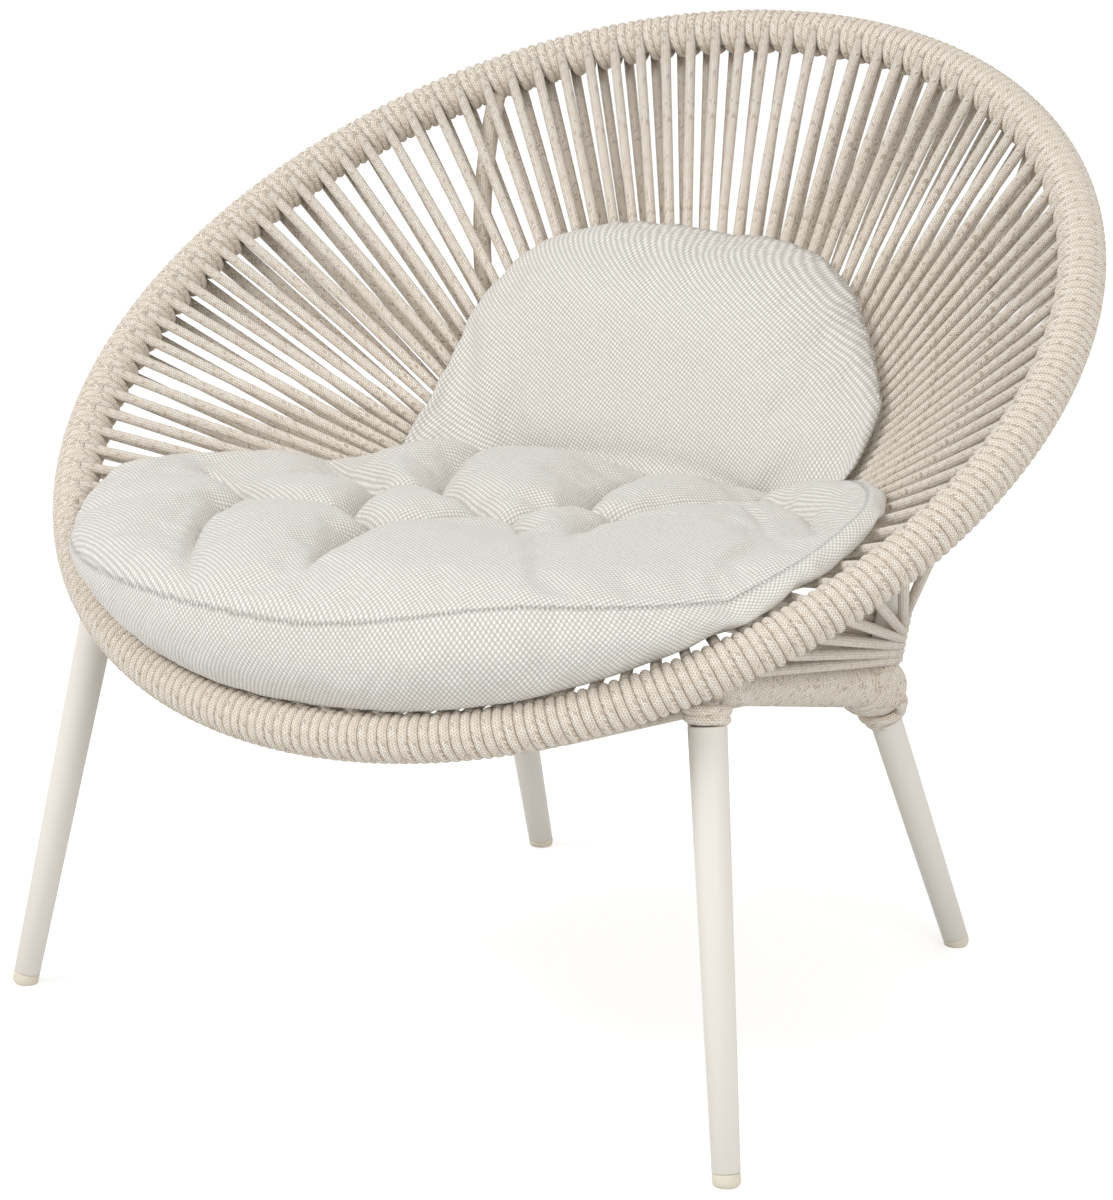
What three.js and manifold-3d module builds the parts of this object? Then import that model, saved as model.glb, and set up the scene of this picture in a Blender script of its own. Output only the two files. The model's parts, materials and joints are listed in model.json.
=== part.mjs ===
// Round rope lounge chair. A tilted hoop of steel tube is wound with braided cord, and pairs of cord
// strands run from it to a small seat ring. Side rails and a rear arch carry the ring, and four
// tapered legs screw in under the rails. A tufted seat cushion and a back cushion lie in it loose.
// Millimetres, +Z up, the front towards -Y. The origin is on the floor under the middle of the hoop.
import * as THREE from 'three';
import { mergeVertices } from 'three/addons/utils/BufferGeometryUtils.js';
import Module from 'manifold-3d';

const wasm = await Module();
wasm.setup();

// Cord and fits
const cordDiameter = 8;
const clearance = 0.3;

// Hoop that makes the front lip, the arms and the top of the back
const rimRadius = 402;
const rimHeight = 506;
const rimTilt = THREE.MathUtils.degToRad(31.8);
const rimTubeRadius = 10;
const grooveDepth = 1.4;

// Seat ring, low and to the rear
const ringRadius = 140;
const ringHeight = 351;
const ringSetback = 96;
const ringTilt = THREE.MathUtils.degToRad(16);
const ringTubeRadius = 10;

// Strands: one pair for each step round the hoop, nine steps in each of twelve panels
const panelCount = 12;
const strandsPerPanel = 9;
const strandWidth = 7.4;
const strandCount = panelCount * strandsPerPanel;
const strandStep = 2 * Math.PI / strandCount;
const frontPairs = 8;
const sideGapPairs = 14;

// Struts that hold the ring from the back of the hoop, between the two layers of strands
const strutRadius = 7.5;
const strutRimAngle = THREE.MathUtils.degToRad(140);
const strutRingAngle = THREE.MathUtils.degToRad(112);

// Side rails, from under the arms down to the rear legs
const railRadius = 10;
const railJointAngle = THREE.MathUtils.degToRad(45);
const rearSpread = 183;
const rearSetback = 166;
const ringOverRails = 113;
const railOverrun = 12;
const turnsPerRib = 7;

// Rear arch that stands on the rails and carries the ring
const archRadius = 10;
const archLean = THREE.MathUtils.degToRad(19.4);
const archBend = 60;

// Cords from the arms to the foot of the arch, and the three to the inside of each rail
const sideCordCount = 7;
const sideCordPitch = 5.8;
const sideCordStart = 22.5;
const firstSideCordIndex = 15;
const deckCordCount = 3;
const deckCordPitch = 14;
const deckCordStart = 70;
const firstDeckCordIndex = 8;

// Legs
const frontFootSpread = 335;
const frontFootReach = 263;
const rearFootSpread = 211;
const rearFootReach = 261;
const frontLegInset = 29;
const legDrop = 32;
const legFootRadius = 10.2;
const legTaper = 0.0118;
const legWall = 1.6;
const socketRadius = 9;
const studRadius = 4;
const studReach = 14;
const plugThickness = 6;
const footCapHeight = 9;
const spigotLength = 14;

// Cushions
const seatHalfWidth = 318;
const seatHalfDepth = 238;
const seatDrift = 6;
const seatMiddle = -128;
const seatTurn = THREE.MathUtils.degToRad(8);
const seatThickness = 34;
const seatTaperShare = 0.26;
const seatSeamOverRing = 27;
const seatCrown = 42;
const cushionGap = 0.8;
const seamMargin = 6;
const tuftDepth = 20;
const tuftRadius = 34;
const tuftPitch = 122;
const tuftRowReach = 168;
const tuftRowShares = [-1, -0.28, 0.42];
const tuftsPerRow = [4, 3, 4];
const backHalfWidth = 184;
const backBottom = 379;
const backTop = 572;
const backCrown = 40;
const backLean = THREE.MathUtils.degToRad(24);
const backSeamOffset = 20;
const backTaperShare = 0.1;
const backSlant = 0.06;
const crownPower = 4;
const restPower = 12;
const seatOutlinePower = 2.1;
const backOutlinePower = 3.2;
const seatRingShares = [0.12, 0.28, 0.42, 0.56, 0.7, 0.82, 0.91, 0.97, 1];
const backRingShares = [0.2, 0.45, 0.68, 0.84, 0.93, 0.98, 1];

// Facets
const tubeSides = 8;
const wrapSides = 8;
const cordSides = 5;
const legSides = 12;
const ringStations = 36;
const strutSteps = 7;
const bendSteps = 5;
const seatColumns = 30;
const backColumns = 20;
const bisections = 30;
const mergeDistance = 1e-3;

const wrapRadius = rimTubeRadius + cordDiameter;
const ringWrapRadius = ringTubeRadius + cordDiameter;
const railWrapRadius = railRadius + cordDiameter;
const rearHeight = ringHeight - ringOverRails;
const seatSeamHeight = ringHeight + seatSeamOverRing;
const backMiddle = (backBottom + backTop) / 2;
const backHalfHeight = (backTop - backBottom) / 2;

const painted = new THREE.MeshStandardMaterial({ color: 0xe9e4da, roughness: 0.55, metalness: 0.1 });
const steel = new THREE.MeshStandardMaterial({ color: 0xb9bcc0, roughness: 0.35, metalness: 1 });
const cord = new THREE.MeshStandardMaterial({ color: 0xd8cbb8, roughness: 0.95, metalness: 0 });
const cloth = new THREE.MeshStandardMaterial({ color: 0xd3d1cc, roughness: 0.95, metalness: 0 });
const plastic = new THREE.MeshStandardMaterial({ color: 0xdcd6c9, roughness: 0.6, metalness: 0 });

const group = new THREE.Group();

function add(name, geometry, material) {
  const mesh = new THREE.Mesh(geometry, material);
  mesh.name = name;
  group.add(mesh);
}

// Meshes from rings of points

function facesOut(positions) {
  let volume = 0;
  const a = new THREE.Vector3();
  const b = new THREE.Vector3();
  const c = new THREE.Vector3();
  for (let i = 0; i < positions.length; i += 9) {
    a.fromArray(positions, i);
    b.fromArray(positions, i + 3);
    c.fromArray(positions, i + 6);
    volume += a.dot(b.cross(c));
  }
  return volume > 0;
}

function meshFrom(triangles) {
  const positions = triangles.flatMap((corners) => corners.flatMap((corner) => corner.toArray()));
  if (!facesOut(positions)) {
    const turned = triangles.map(([a, b, c]) => [a, c, b]);
    return meshFrom(turned);
  }
  const geometry = new THREE.BufferGeometry();
  geometry.setAttribute('position', new THREE.Float32BufferAttribute(positions, 3));
  return geometry;
}

function quad(triangles, a, b, c, d) {
  triangles.push([a, b, c], [a, c, d]);
}

function bands(triangles, rings, closed = false) {
  const last = closed ? rings.length : rings.length - 1;
  for (let i = 0; i < last; i += 1) {
    const here = rings[i];
    const next = rings[(i + 1) % rings.length];
    here.forEach((point, j) => {
      const k = (j + 1) % here.length;
      quad(triangles, point, here[k], next[k], next[j]);
    });
  }
}

function cap(triangles, ring, turned) {
  for (let j = 1; j < ring.length - 1; j += 1) {
    triangles.push(turned ? [ring[0], ring[j + 1], ring[j]] : [ring[0], ring[j], ring[j + 1]]);
  }
}

function loft(rings, closed = false) {
  const triangles = [];
  bands(triangles, rings, closed);
  if (!closed) {
    cap(triangles, rings[0], true);
    cap(triangles, rings[rings.length - 1], false);
  }
  return meshFrom(triangles);
}

// A wall between an outer and an inner skin, whose end rings have equally many points
function sleeve(outer, inner) {
  const triangles = [];
  bands(triangles, outer);
  bands(triangles, inner.map((ring) => ring.slice()).reverse());
  bands(triangles, [inner[0], outer[0]]);
  bands(triangles, [outer[outer.length - 1], inner[inner.length - 1]]);
  return meshFrom(triangles);
}

function circle(frame, radius, sides, turn = 0) {
  return Array.from({ length: sides }, (_, j) => {
    const angle = turn + 2 * Math.PI * j / sides;
    return frame.origin.clone()
      .addScaledVector(frame.across, radius * Math.cos(angle))
      .addScaledVector(frame.up, radius * Math.sin(angle));
  });
}

// The radius at which a polygon of the given sides stands wholly outside a circle
function around(radius, sides) {
  return radius / Math.cos(Math.PI / sides);
}

function solid(geometry) {
  const merged = mergeVertices(geometry, mergeDistance / 10);
  return new wasm.Manifold(new wasm.Mesh({
    numProp: 3,
    vertProperties: new Float32Array(merged.attributes.position.array),
    triVerts: new Uint32Array(merged.index.array),
  }));
}

function plain(geometry) {
  const bare = geometry.index ? geometry.toNonIndexed() : geometry.clone();
  bare.deleteAttribute('normal');
  bare.deleteAttribute('uv');
  return bare;
}

function unsolid(body) {
  const mesh = body.getMesh();
  const geometry = new THREE.BufferGeometry();
  geometry.setAttribute('position', new THREE.Float32BufferAttribute(mesh.vertProperties, 3));
  geometry.setIndex(new THREE.BufferAttribute(mesh.triVerts, 1));
  return geometry;
}

function cut(geometry, ...tools) {
  const body = tools.reduce((rest, tool) => rest.subtract(solid(plain(tool))), solid(plain(geometry)));
  return unsolid(body);
}

function join(geometry, ...others) {
  const body = others.reduce((whole, other) => whole.add(solid(plain(other))), solid(plain(geometry)));
  return unsolid(body);
}

// Places on the hoop, the ring and the strands between them. Angle zero is the front.

function hoopPoint(radius, height, setback, tilt, angle) {
  const forward = radius * Math.cos(angle);
  return new THREE.Vector3(
    radius * Math.sin(angle),
    setback - forward * Math.cos(tilt),
    height - forward * Math.sin(tilt),
  );
}

function rimPoint(angle) {
  return hoopPoint(rimRadius, rimHeight, 0, rimTilt, angle);
}

function ringPoint(angle) {
  return hoopPoint(ringRadius, ringHeight, ringSetback, ringTilt, angle);
}

function hoopTangent(tilt, angle) {
  return hoopPoint(1, 0, 0, tilt, angle + Math.PI / 2);
}

function hoopFrame(point, tilt, angle) {
  const up = new THREE.Vector3(0, -Math.sin(tilt), Math.cos(tilt));
  return { origin: point, across: up.clone().cross(hoopTangent(tilt, angle)), up };
}

const rimFrame = (angle) => hoopFrame(rimPoint(angle), rimTilt, angle);
const ringFrame = (angle) => hoopFrame(ringPoint(angle), ringTilt, angle);

// At each angle: along points from the ring up to the hoop, inward points into the bowl
function strandFrame(angle) {
  const rim = rimPoint(angle);
  const ring = ringPoint(angle);
  const along = rim.clone().sub(ring).normalize();
  const side = hoopTangent(rimTilt, angle);
  const inward = along.clone().cross(side).normalize();
  if (inward.z < 0) inward.negate();
  return { rim, ring, along, side, inward };
}

function hoopTube(frameAt, radius) {
  const stations = Array.from({ length: ringStations }, (_, i) => 2 * Math.PI * i / ringStations);
  return loft(stations.map((angle) => circle(frameAt(angle), radius, tubeSides)), true);
}

// Straight and bent rods

function rodFrames(points) {
  let across = null;
  return points.map((origin, i) => {
    const from = points[Math.max(i - 1, 0)];
    const to = points[Math.min(i + 1, points.length - 1)];
    const along = to.clone().sub(from).normalize();
    if (!across) {
      across = new THREE.Vector3(1, 0, 0);
      if (Math.abs(along.x) > Math.SQRT1_2) across.set(0, 1, 0);
    }
    across = across.clone().addScaledVector(along, -across.dot(along)).normalize();
    return { origin, across, up: along.clone().cross(across) };
  });
}

function rod(points, radius, sides = tubeSides) {
  return loft(rodFrames(points).map((frame) => circle(frame, radius, sides)));
}

function towards(from, to, distance) {
  return from.clone().addScaledVector(to.clone().sub(from).normalize(), distance);
}

// Tools that cut a neighbour back to the clearance. They have the facets of the tube that they follow.
const rimTubeTool = hoopTube(rimFrame, rimTubeRadius + clearance);
const ringTubeTool = hoopTube(ringFrame, ringTubeRadius + clearance);
const rimWrapTool = hoopTube(rimFrame, around(wrapRadius + clearance, tubeSides));

// The two hoops
add('rim_tube', hoopTube(rimFrame, rimTubeRadius), painted);
add('seat_ring_tube', hoopTube(ringFrame, ringTubeRadius), painted);

// Struts, bent to follow the surface that the strands make

function strutPath(side, fromShare, toShare) {
  return Array.from({ length: strutSteps + 1 }, (_, i) => {
    const share = fromShare + (toShare - fromShare) * i / strutSteps;
    const angle = side * THREE.MathUtils.lerp(strutRimAngle, strutRingAngle, share);
    return rimPoint(angle).lerp(ringPoint(angle), share);
  });
}

const strutTools = {};
for (const [word, side] of [['left', -1], ['right', 1]]) {
  strutTools[word] = rod(strutPath(side, 0, 1), strutRadius + clearance, wrapSides);
  const strut = cut(rod(strutPath(side, 0, 1), strutRadius, wrapSides), rimTubeTool, ringTubeTool);
  add(`strut_${word}`, strut, cord);
}

// Side rails. They run on past the rear legs, and a leg joint lies on each near either end.

function sideParts(side) {
  const front = rimPoint(side * railJointAngle);
  const rear = new THREE.Vector3(side * rearSpread, rearSetback, rearHeight);
  return {
    front,
    rear,
    end: towards(rear, front, -railOverrun),
    frontJoint: towards(front, rear, frontLegInset),
    frontFoot: new THREE.Vector3(side * frontFootSpread, -frontFootReach, 0),
    rearFoot: new THREE.Vector3(side * rearFootSpread, rearFootReach, 0),
  };
}

// Rear arch, drawn flat in the leaning plane that rises from the rails

const archUp = new THREE.Vector3(0, Math.sin(archLean), Math.cos(archLean));
const archFoot = new THREE.Vector3(0, rearSetback, rearHeight);

function archPoint(x, rise) {
  return archFoot.clone().addScaledVector(archUp, rise).setX(x);
}

// The rise at which the cross part lies just under the wound ring
function archRise() {
  const { up } = ringFrame(0);
  const toRing = new THREE.Vector3(0, ringSetback, ringHeight).sub(archFoot);
  return (toRing.dot(up) - ringWrapRadius - archRadius - clearance) / archUp.dot(up);
}

function archPath() {
  const rise = archRise();
  const bend = Math.min(archBend, rise / 2);
  const half = [archPoint(rearSpread, 0)];
  for (let i = 0; i <= bendSteps; i += 1) {
    const angle = Math.PI / 2 * i / bendSteps;
    const x = rearSpread - bend * (1 - Math.cos(angle));
    half.push(archPoint(x, rise - bend * (1 - Math.sin(angle))));
  }
  const mirrored = half.slice().reverse().map((point) => point.clone().setX(-point.x));
  return [...half, archPoint(0, rise), ...mirrored];
}

const railTools = {};
for (const [word, side] of [['left', -1], ['right', 1]]) {
  const { front, end } = sideParts(side);
  const start = towards(front, end, railRadius / 2);
  railTools[word] = rod([front, end], railRadius + clearance);
  add(`side_rail_${word}`, cut(rod([start, end], railRadius), rimTubeTool), painted);
}
const archTool = rod(archPath(), archRadius + clearance);
add('rear_arch', cut(rod(archPath(), archRadius), railTools.left, railTools.right), painted);

// Legs with their sockets, studs, foot caps and the turns of cord round each socket

// A turned piece given as [distance down the leg, radius] pairs, laid on the axis of the leg
function turned(joint, foot, profile) {
  const points = profile.map(([down, radius]) => new THREE.Vector2(radius, down));
  const geometry = new THREE.LatheGeometry([...points, points[0].clone()], legSides);
  const down = foot.clone().sub(joint).normalize();
  const turn = new THREE.Quaternion().setFromUnitVectors(new THREE.Vector3(0, 1, 0), down);
  geometry.applyQuaternion(turn);
  geometry.translate(joint.x, joint.y, joint.z);
  return tidy(geometry);
}

// Merges the seam and the pole of a turned piece and drops its empty triangles
function tidy(geometry) {
  const merged = mergeVertices(plain(geometry), mergeDistance);
  const { array } = merged.index;
  const place = merged.attributes.position;
  const triangles = [];
  for (let i = 0; i < array.length; i += 3) {
    const [a, b, c] = [array[i], array[i + 1], array[i + 2]];
    if (a !== b && b !== c && c !== a) {
      triangles.push([a, b, c].map((index) => new THREE.Vector3().fromBufferAttribute(place, index)));
    }
  }
  return meshFrom(triangles);
}

const floor = new THREE.BoxGeometry(rimRadius * 3, rimRadius * 3, rimRadius);
floor.translate(0, 0, -rimRadius / 2);

function legParts(name, joint, foot, rail) {
  const length = joint.distanceTo(foot);
  const bottom = length - footCapHeight;
  const radiusAt = (down) => legFootRadius + legTaper * (length - down);
  const boreAt = (down) => radiusAt(down) - legWall;

  const socketTip = legDrop - clearance;
  const socket = turned(joint, foot, [
    [0, 0], [0, socketRadius], [socketTip, socketRadius],
    [socketTip, studRadius + clearance], [legDrop - studReach, studRadius + clearance],
    [legDrop - studReach, 0],
  ]);
  add(`${name}_socket`, cut(socket, rail), painted);

  const plugRadius = boreAt(legDrop + plugThickness) - clearance;
  const studTop = legDrop - studReach + clearance;
  add(`${name}_stud`, turned(joint, foot, [
    [studTop, 0], [studTop, studRadius], [legDrop, studRadius], [legDrop, plugRadius],
    [legDrop + plugThickness, plugRadius], [legDrop + plugThickness, 0],
  ]), steel);

  const tubeEnds = [legDrop, bottom - clearance];
  const skin = tubeEnds.map((down) => [down, radiusAt(down)]);
  const bore = tubeEnds.map((down) => [down, boreAt(down)]).reverse();
  add(name, turned(joint, foot, [...skin, ...bore]), painted);

  const capRadius = radiusAt(bottom);
  const spigotRadius = boreAt(bottom) - clearance;
  const below = length + capRadius;
  const footCap = turned(joint, foot, [
    [bottom - spigotLength, 0], [bottom - spigotLength, spigotRadius], [bottom, spigotRadius],
    [bottom, capRadius], [below, capRadius], [below, 0],
  ]);
  add(`${name}_foot_cap`, cut(footCap, floor), plastic);

  const collarTop = railRadius;
  const collarEnd = legDrop - clearance;
  const bulge = socketRadius + cordDiameter;
  const waist = bulge - grooveDepth;
  const quarter = (collarEnd - railWrapRadius) / 4;
  const collar = turned(joint, foot, [
    [collarTop, socketRadius + clearance], [collarTop, waist], [railWrapRadius, bulge],
    [railWrapRadius + 2 * quarter, waist], [railWrapRadius + 3 * quarter, bulge],
    [collarEnd, waist], [collarEnd, socketRadius + clearance],
  ]);
  const railSide = sideParts(Math.sign(joint.x));
  const wrapTool = rod([railSide.front, railSide.end], around(railWrapRadius + clearance, tubeSides));
  add(`${name}_cord_collar`, cut(collar, wrapTool, rimWrapTool), cord);
  return turned(joint, foot, [
    [0, 0], [0, socketRadius + 2 * clearance], [legDrop, socketRadius + 2 * clearance], [legDrop, 0],
  ]);
}

const socketTools = { left: [], right: [] };
for (const [word, side] of [['left', -1], ['right', 1]]) {
  const { frontJoint, frontFoot, rear, rearFoot } = sideParts(side);
  const rail = railTools[word];
  socketTools[word].push(legParts(`front_leg_${word}`, frontJoint, frontFoot, rail));
  socketTools[word].push(legParts(`rear_leg_${word}`, rear, rearFoot, rail));
}

// Cord wound on the hoop, in four lengths that stop at the front, the back and the two sides.
// Each rib stands for the turns between one pair of strands and the next.

function rimWrap(firstStep, stepCount) {
  const endGap = clearance / rimRadius;
  const start = firstStep * strandStep;
  const outer = [];
  for (let i = 0; i <= 2 * stepCount; i += 1) {
    let angle = start + i * strandStep / 2;
    if (i === 0) angle += endGap;
    if (i === 2 * stepCount) angle -= endGap;
    const radius = i % 2 === 0 ? wrapRadius - grooveDepth : wrapRadius;
    outer.push(circle(rimFrame(angle), radius, wrapSides));
  }
  const stations = Math.round(ringStations * stepCount / strandCount);
  const inner = Array.from({ length: stations + 1 }, (_, i) => {
    let angle = start + i * stepCount * strandStep / stations;
    if (i === 0) angle += endGap;
    if (i === stations) angle -= endGap;
    return circle(rimFrame(angle), rimTubeRadius + clearance, wrapSides);
  });
  return sleeve(outer, inner);
}

const quarterSteps = strandCount / 4;
add('rim_cord_front_right', cut(rimWrap(0, quarterSteps), railTools.right), cord);
add('rim_cord_back_right', cut(rimWrap(quarterSteps, quarterSteps), strutTools.right), cord);
add('rim_cord_back_left', cut(rimWrap(2 * quarterSteps, quarterSteps), strutTools.left), cord);
add('rim_cord_front_left', cut(rimWrap(3 * quarterSteps, quarterSteps), railTools.left), cord);

// Panels of strands. Each is a length of the cord wound on the ring, from which the strands grow:
// one from its upper side to the inner face of the hoop, one from its lower side to the outer face.

const strandInner = ringTubeRadius - clearance;
const strandOuter = ringWrapRadius - clearance;
const strandFoot = [
  Math.asin(strandInner / ringWrapRadius),
  Math.asin(strandOuter / ringWrapRadius),
];
const hookAngle = THREE.MathUtils.degToRad(120);
const backAngle = THREE.MathUtils.degToRad(160);
const sectionAngles = [strandFoot[0], strandFoot[1], hookAngle, backAngle];
const panelSection = [...sectionAngles, ...sectionAngles.slice().reverse().map((angle) => -angle)];
const upperFacet = 0;
const lowerFacet = panelSection.length - 2;

// A section square to the ring that faces along the strand
function panelFrame(angle) {
  const { ring, along } = strandFrame(angle);
  const tangent = hoopTangent(ringTilt, angle);
  const across = along.clone().addScaledVector(tangent, -along.dot(tangent)).normalize();
  return { origin: ring, across, up: across.clone().cross(tangent) };
}

function panelRing(angle) {
  const { origin, across, up } = panelFrame(angle);
  return panelSection.map((turn) => origin.clone()
    .addScaledVector(across, ringWrapRadius * Math.cos(turn))
    .addScaledVector(up, ringWrapRadius * Math.sin(turn)));
}

function panelBore(angle) {
  const radius = around(ringTubeRadius + clearance, wrapSides);
  return circle(panelFrame(angle), radius, wrapSides, sectionAngles[0]);
}

// The free end of a strand, square to it, just clear of the wound hoop
function strandEnd(angle, face) {
  const { rim, along, side, inward } = strandFrame(angle);
  const lowest = rimTubeRadius;
  const highest = rimTubeRadius + cordDiameter;
  const back = Math.sqrt((wrapRadius + clearance) ** 2 - lowest ** 2);
  const corner = (across, out) => rim.clone()
    .addScaledVector(along, -back)
    .addScaledVector(side, across * strandWidth / 2)
    .addScaledVector(inward, face * out);
  return { corner, lowest, highest };
}

function growStrand(triangles, base, angle, face) {
  const { corner, lowest, highest } = strandEnd(angle, face);
  const outs = face > 0 ? [lowest, highest] : [highest, lowest];
  const tip = [corner(-1, outs[0]), corner(-1, outs[1]), corner(1, outs[1]), corner(1, outs[0])];
  base.forEach((point, j) => {
    const k = (j + 1) % base.length;
    quad(triangles, point, base[k], tip[k], tip[j]);
  });
  quad(triangles, ...tip);
}

function hasLowerStrand(index) {
  const fromFront = Math.min(index, strandCount - 1 - index);
  return fromFront < frontPairs || fromFront >= frontPairs + sideGapPairs;
}

function strandPanel(panel) {
  const half = strandWidth / 2 / ringRadius;
  const triangles = [];
  const rings = [];
  for (let i = 0; i < strandsPerPanel; i += 1) {
    const angle = (panel * strandsPerPanel + i + 0.5) * strandStep;
    rings.push(panelRing(angle - half), panelRing(angle + half));
  }
  for (let band = 0; band < rings.length - 1; band += 1) {
    const [here, next] = [rings[band], rings[band + 1]];
    const index = panel * strandsPerPanel + band / 2;
    const angle = (index + 0.5) * strandStep;
    for (let j = 0; j < here.length; j += 1) {
      const k = (j + 1) % here.length;
      const base = [here[j], here[k], next[k], next[j]];
      if (band % 2 === 0 && j === upperFacet) growStrand(triangles, base, angle, 1);
      else if (band % 2 === 0 && j === lowerFacet && hasLowerStrand(index)) {
        growStrand(triangles, base, angle, -1);
      } else quad(triangles, ...base);
    }
  }
  const start = panel * strandsPerPanel * strandStep;
  const stations = ringStations / panelCount;
  const bore = [panelBore(start + strandStep / 2 - half)];
  for (let i = 1; i < stations; i += 1) bore.push(panelBore(start + i * 2 * Math.PI / ringStations));
  bore.push(panelBore(start + (strandsPerPanel - 0.5) * strandStep + half));
  bands(triangles, bore.map((ring) => ring.slice()).reverse());
  bands(triangles, [bore[0], rings[0]]);
  bands(triangles, [rings[rings.length - 1], bore[bore.length - 1]]);
  return meshFrom(triangles);
}

for (let panel = 0; panel < panelCount; panel += 1) {
  const middle = (panel + 0.5) * 2 * Math.PI / panelCount;
  let geometry = strandPanel(panel);
  for (const [word, side] of [['left', -1], ['right', 1]]) {
    const strutAngle = THREE.MathUtils.euclideanModulo(side * strutRingAngle, 2 * Math.PI);
    if (Math.abs(strutAngle - middle) < Math.PI / panelCount) geometry = cut(geometry, strutTools[word]);
  }
  add(`strand_panel_${String(panel + 1).padStart(2, '0')}`, geometry, cord);
}

// Cord wound on the side rails, and the cords that end at the foot of the arch

function straightCord(from, to) {
  return rod([from, to], cordDiameter / 2, cordSides);
}

// Where a cord bound for the given place leaves the lower face of the wound hoop
function leavesRim(angle, target) {
  const rim = rimPoint(angle);
  const along = target.clone().sub(rim).normalize();
  const side = hoopTangent(rimTilt, angle);
  const out = along.clone().cross(side).normalize();
  if (out.z > 0) out.negate();
  const centre = rimTubeRadius + cordDiameter / 2;
  const back = Math.sqrt((wrapRadius + clearance) ** 2 - rimTubeRadius ** 2);
  return rim.addScaledVector(out, centre).addScaledVector(along, back);
}

function ribbedSleeve(from, to, bore, radius, ribCount) {
  const stations = Array.from({ length: 2 * ribCount + 1 }, (_, i) => {
    return from.clone().lerp(to, i / (2 * ribCount));
  });
  const frames = rodFrames(stations);
  const outer = frames.map((frame, i) => {
    return circle(frame, i % 2 === 0 ? radius - grooveDepth : radius, wrapSides);
  });
  const ends = [frames[0], frames[frames.length - 1]];
  return sleeve(outer, ends.map((frame) => circle(frame, bore, wrapSides)));
}

for (const [word, side] of [['left', -1], ['right', 1]]) {
  const { front, rear, end } = sideParts(side);
  const direction = end.clone().sub(front).normalize();
  const meeting = Math.abs(direction.dot(hoopTangent(rimTilt, side * railJointAngle)));
  const slope = Math.sqrt(1 - meeting ** 2);
  const start = (wrapRadius + clearance + railWrapRadius * meeting) / slope;
  const wrapStart = towards(front, end, start);
  const wrapLength = wrapStart.distanceTo(end);
  const ribs = Math.round(wrapLength / (turnsPerRib * cordDiameter));
  let wrap = ribbedSleeve(wrapStart, end, railRadius + clearance, railWrapRadius, ribs);
  for (let i = 0; i < deckCordCount; i += 1) {
    const angle = side * (firstDeckCordIndex + i + 0.5) * strandStep;
    const seat = towards(rear, front, deckCordStart - i * deckCordPitch);
    const inside = seat.clone().setX(seat.x - side * railWrapRadius);
    wrap = join(wrap, cut(straightCord(leavesRim(angle, inside), inside), railTools[word]));
  }
  add(`rail_cord_${word}`, cut(wrap, archTool, ...socketTools[word]), cord);

  const foot = archPoint(side * rearSpread, sideCordStart - cordDiameter / 2);
  const top = archPoint(side * rearSpread, sideCordStart + (sideCordCount - 0.5) * sideCordPitch);
  const turns = Math.round(foot.distanceTo(top) / cordDiameter);
  let corner = ribbedSleeve(foot, top, archRadius + clearance, archRadius + cordDiameter, turns);
  for (let i = 0; i < sideCordCount; i += 1) {
    const angle = side * (firstSideCordIndex + i + 0.5) * strandStep;
    const seat = archPoint(side * rearSpread, sideCordStart + i * sideCordPitch);
    seat.x += side * (archRadius + cordDiameter / 2);
    corner = join(corner, straightCord(leavesRim(angle, seat), seat));
  }
  add(`side_cords_${word}`, corner, cord);
}

// Height of the upper face of the strands over a place on the floor, or of a sheet laid over the ring.
// The share is 0 at the hoop, 1 at the ring, and runs on a little past both.

const shareLimits = [-0.3, 1.3];

function hoopAtShare(x, y, share) {
  const wide = THREE.MathUtils.lerp(rimRadius, ringRadius, share);
  const deep = THREE.MathUtils.lerp(rimRadius * Math.cos(rimTilt), ringRadius * Math.cos(ringTilt), share);
  const across = x / wide;
  const forward = (share * ringSetback - y) / deep;
  return { inside: Math.hypot(across, forward) < 1, angle: Math.atan2(across, forward) };
}

function bowlHeight(x, y) {
  const overRing = ringHeight + (y - ringSetback) * Math.tan(ringTilt) + ringWrapRadius / Math.cos(ringTilt);
  let [near, far] = shareLimits;
  if (hoopAtShare(x, y, far).inside) return overRing;
  for (let i = 0; i < bisections; i += 1) {
    const middle = (near + far) / 2;
    if (hoopAtShare(x, y, middle).inside) near = middle;
    else far = middle;
  }
  const { rim, ring, inward } = strandFrame(hoopAtShare(x, y, near).angle);
  const overStrand = THREE.MathUtils.lerp(rim.z, ring.z, near) + wrapRadius / inward.z;
  return near > 1 ? Math.max(overRing, overStrand) : overStrand;
}

// The y at which the strands of the back reach the given height
function backWall(x, z) {
  let near = 0;
  let far = rimRadius;
  for (let i = 0; i < bisections; i += 1) {
    const middle = (near + far) / 2;
    if (bowlHeight(x, middle) > z) far = middle;
    else near = middle;
  }
  return near;
}

// Cushions, as two skins that meet at a seam. Each is a disc of rings about its middle.

function cushion(columns, ringShares, pointAt) {
  const skin = (upper) => ringShares.map((share) => Array.from({ length: columns }, (_, j) => {
    return pointAt(2 * Math.PI * j / columns, share, upper);
  }));
  const upper = skin(true);
  const lower = skin(false).slice(0, -1);
  const triangles = [];
  bands(triangles, [...upper, ...lower.reverse()]);
  for (const [ring, flip] of [[upper[0], true], [skin(false)[0], false]]) {
    const middle = ring.reduce((sum, point) => sum.add(point), new THREE.Vector3())
      .divideScalar(ring.length);
    ring.forEach((point, j) => {
      const next = ring[(j + 1) % ring.length];
      triangles.push(flip ? [middle, next, point] : [middle, point, next]);
    });
  }
  return meshFrom(triangles);
}

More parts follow.
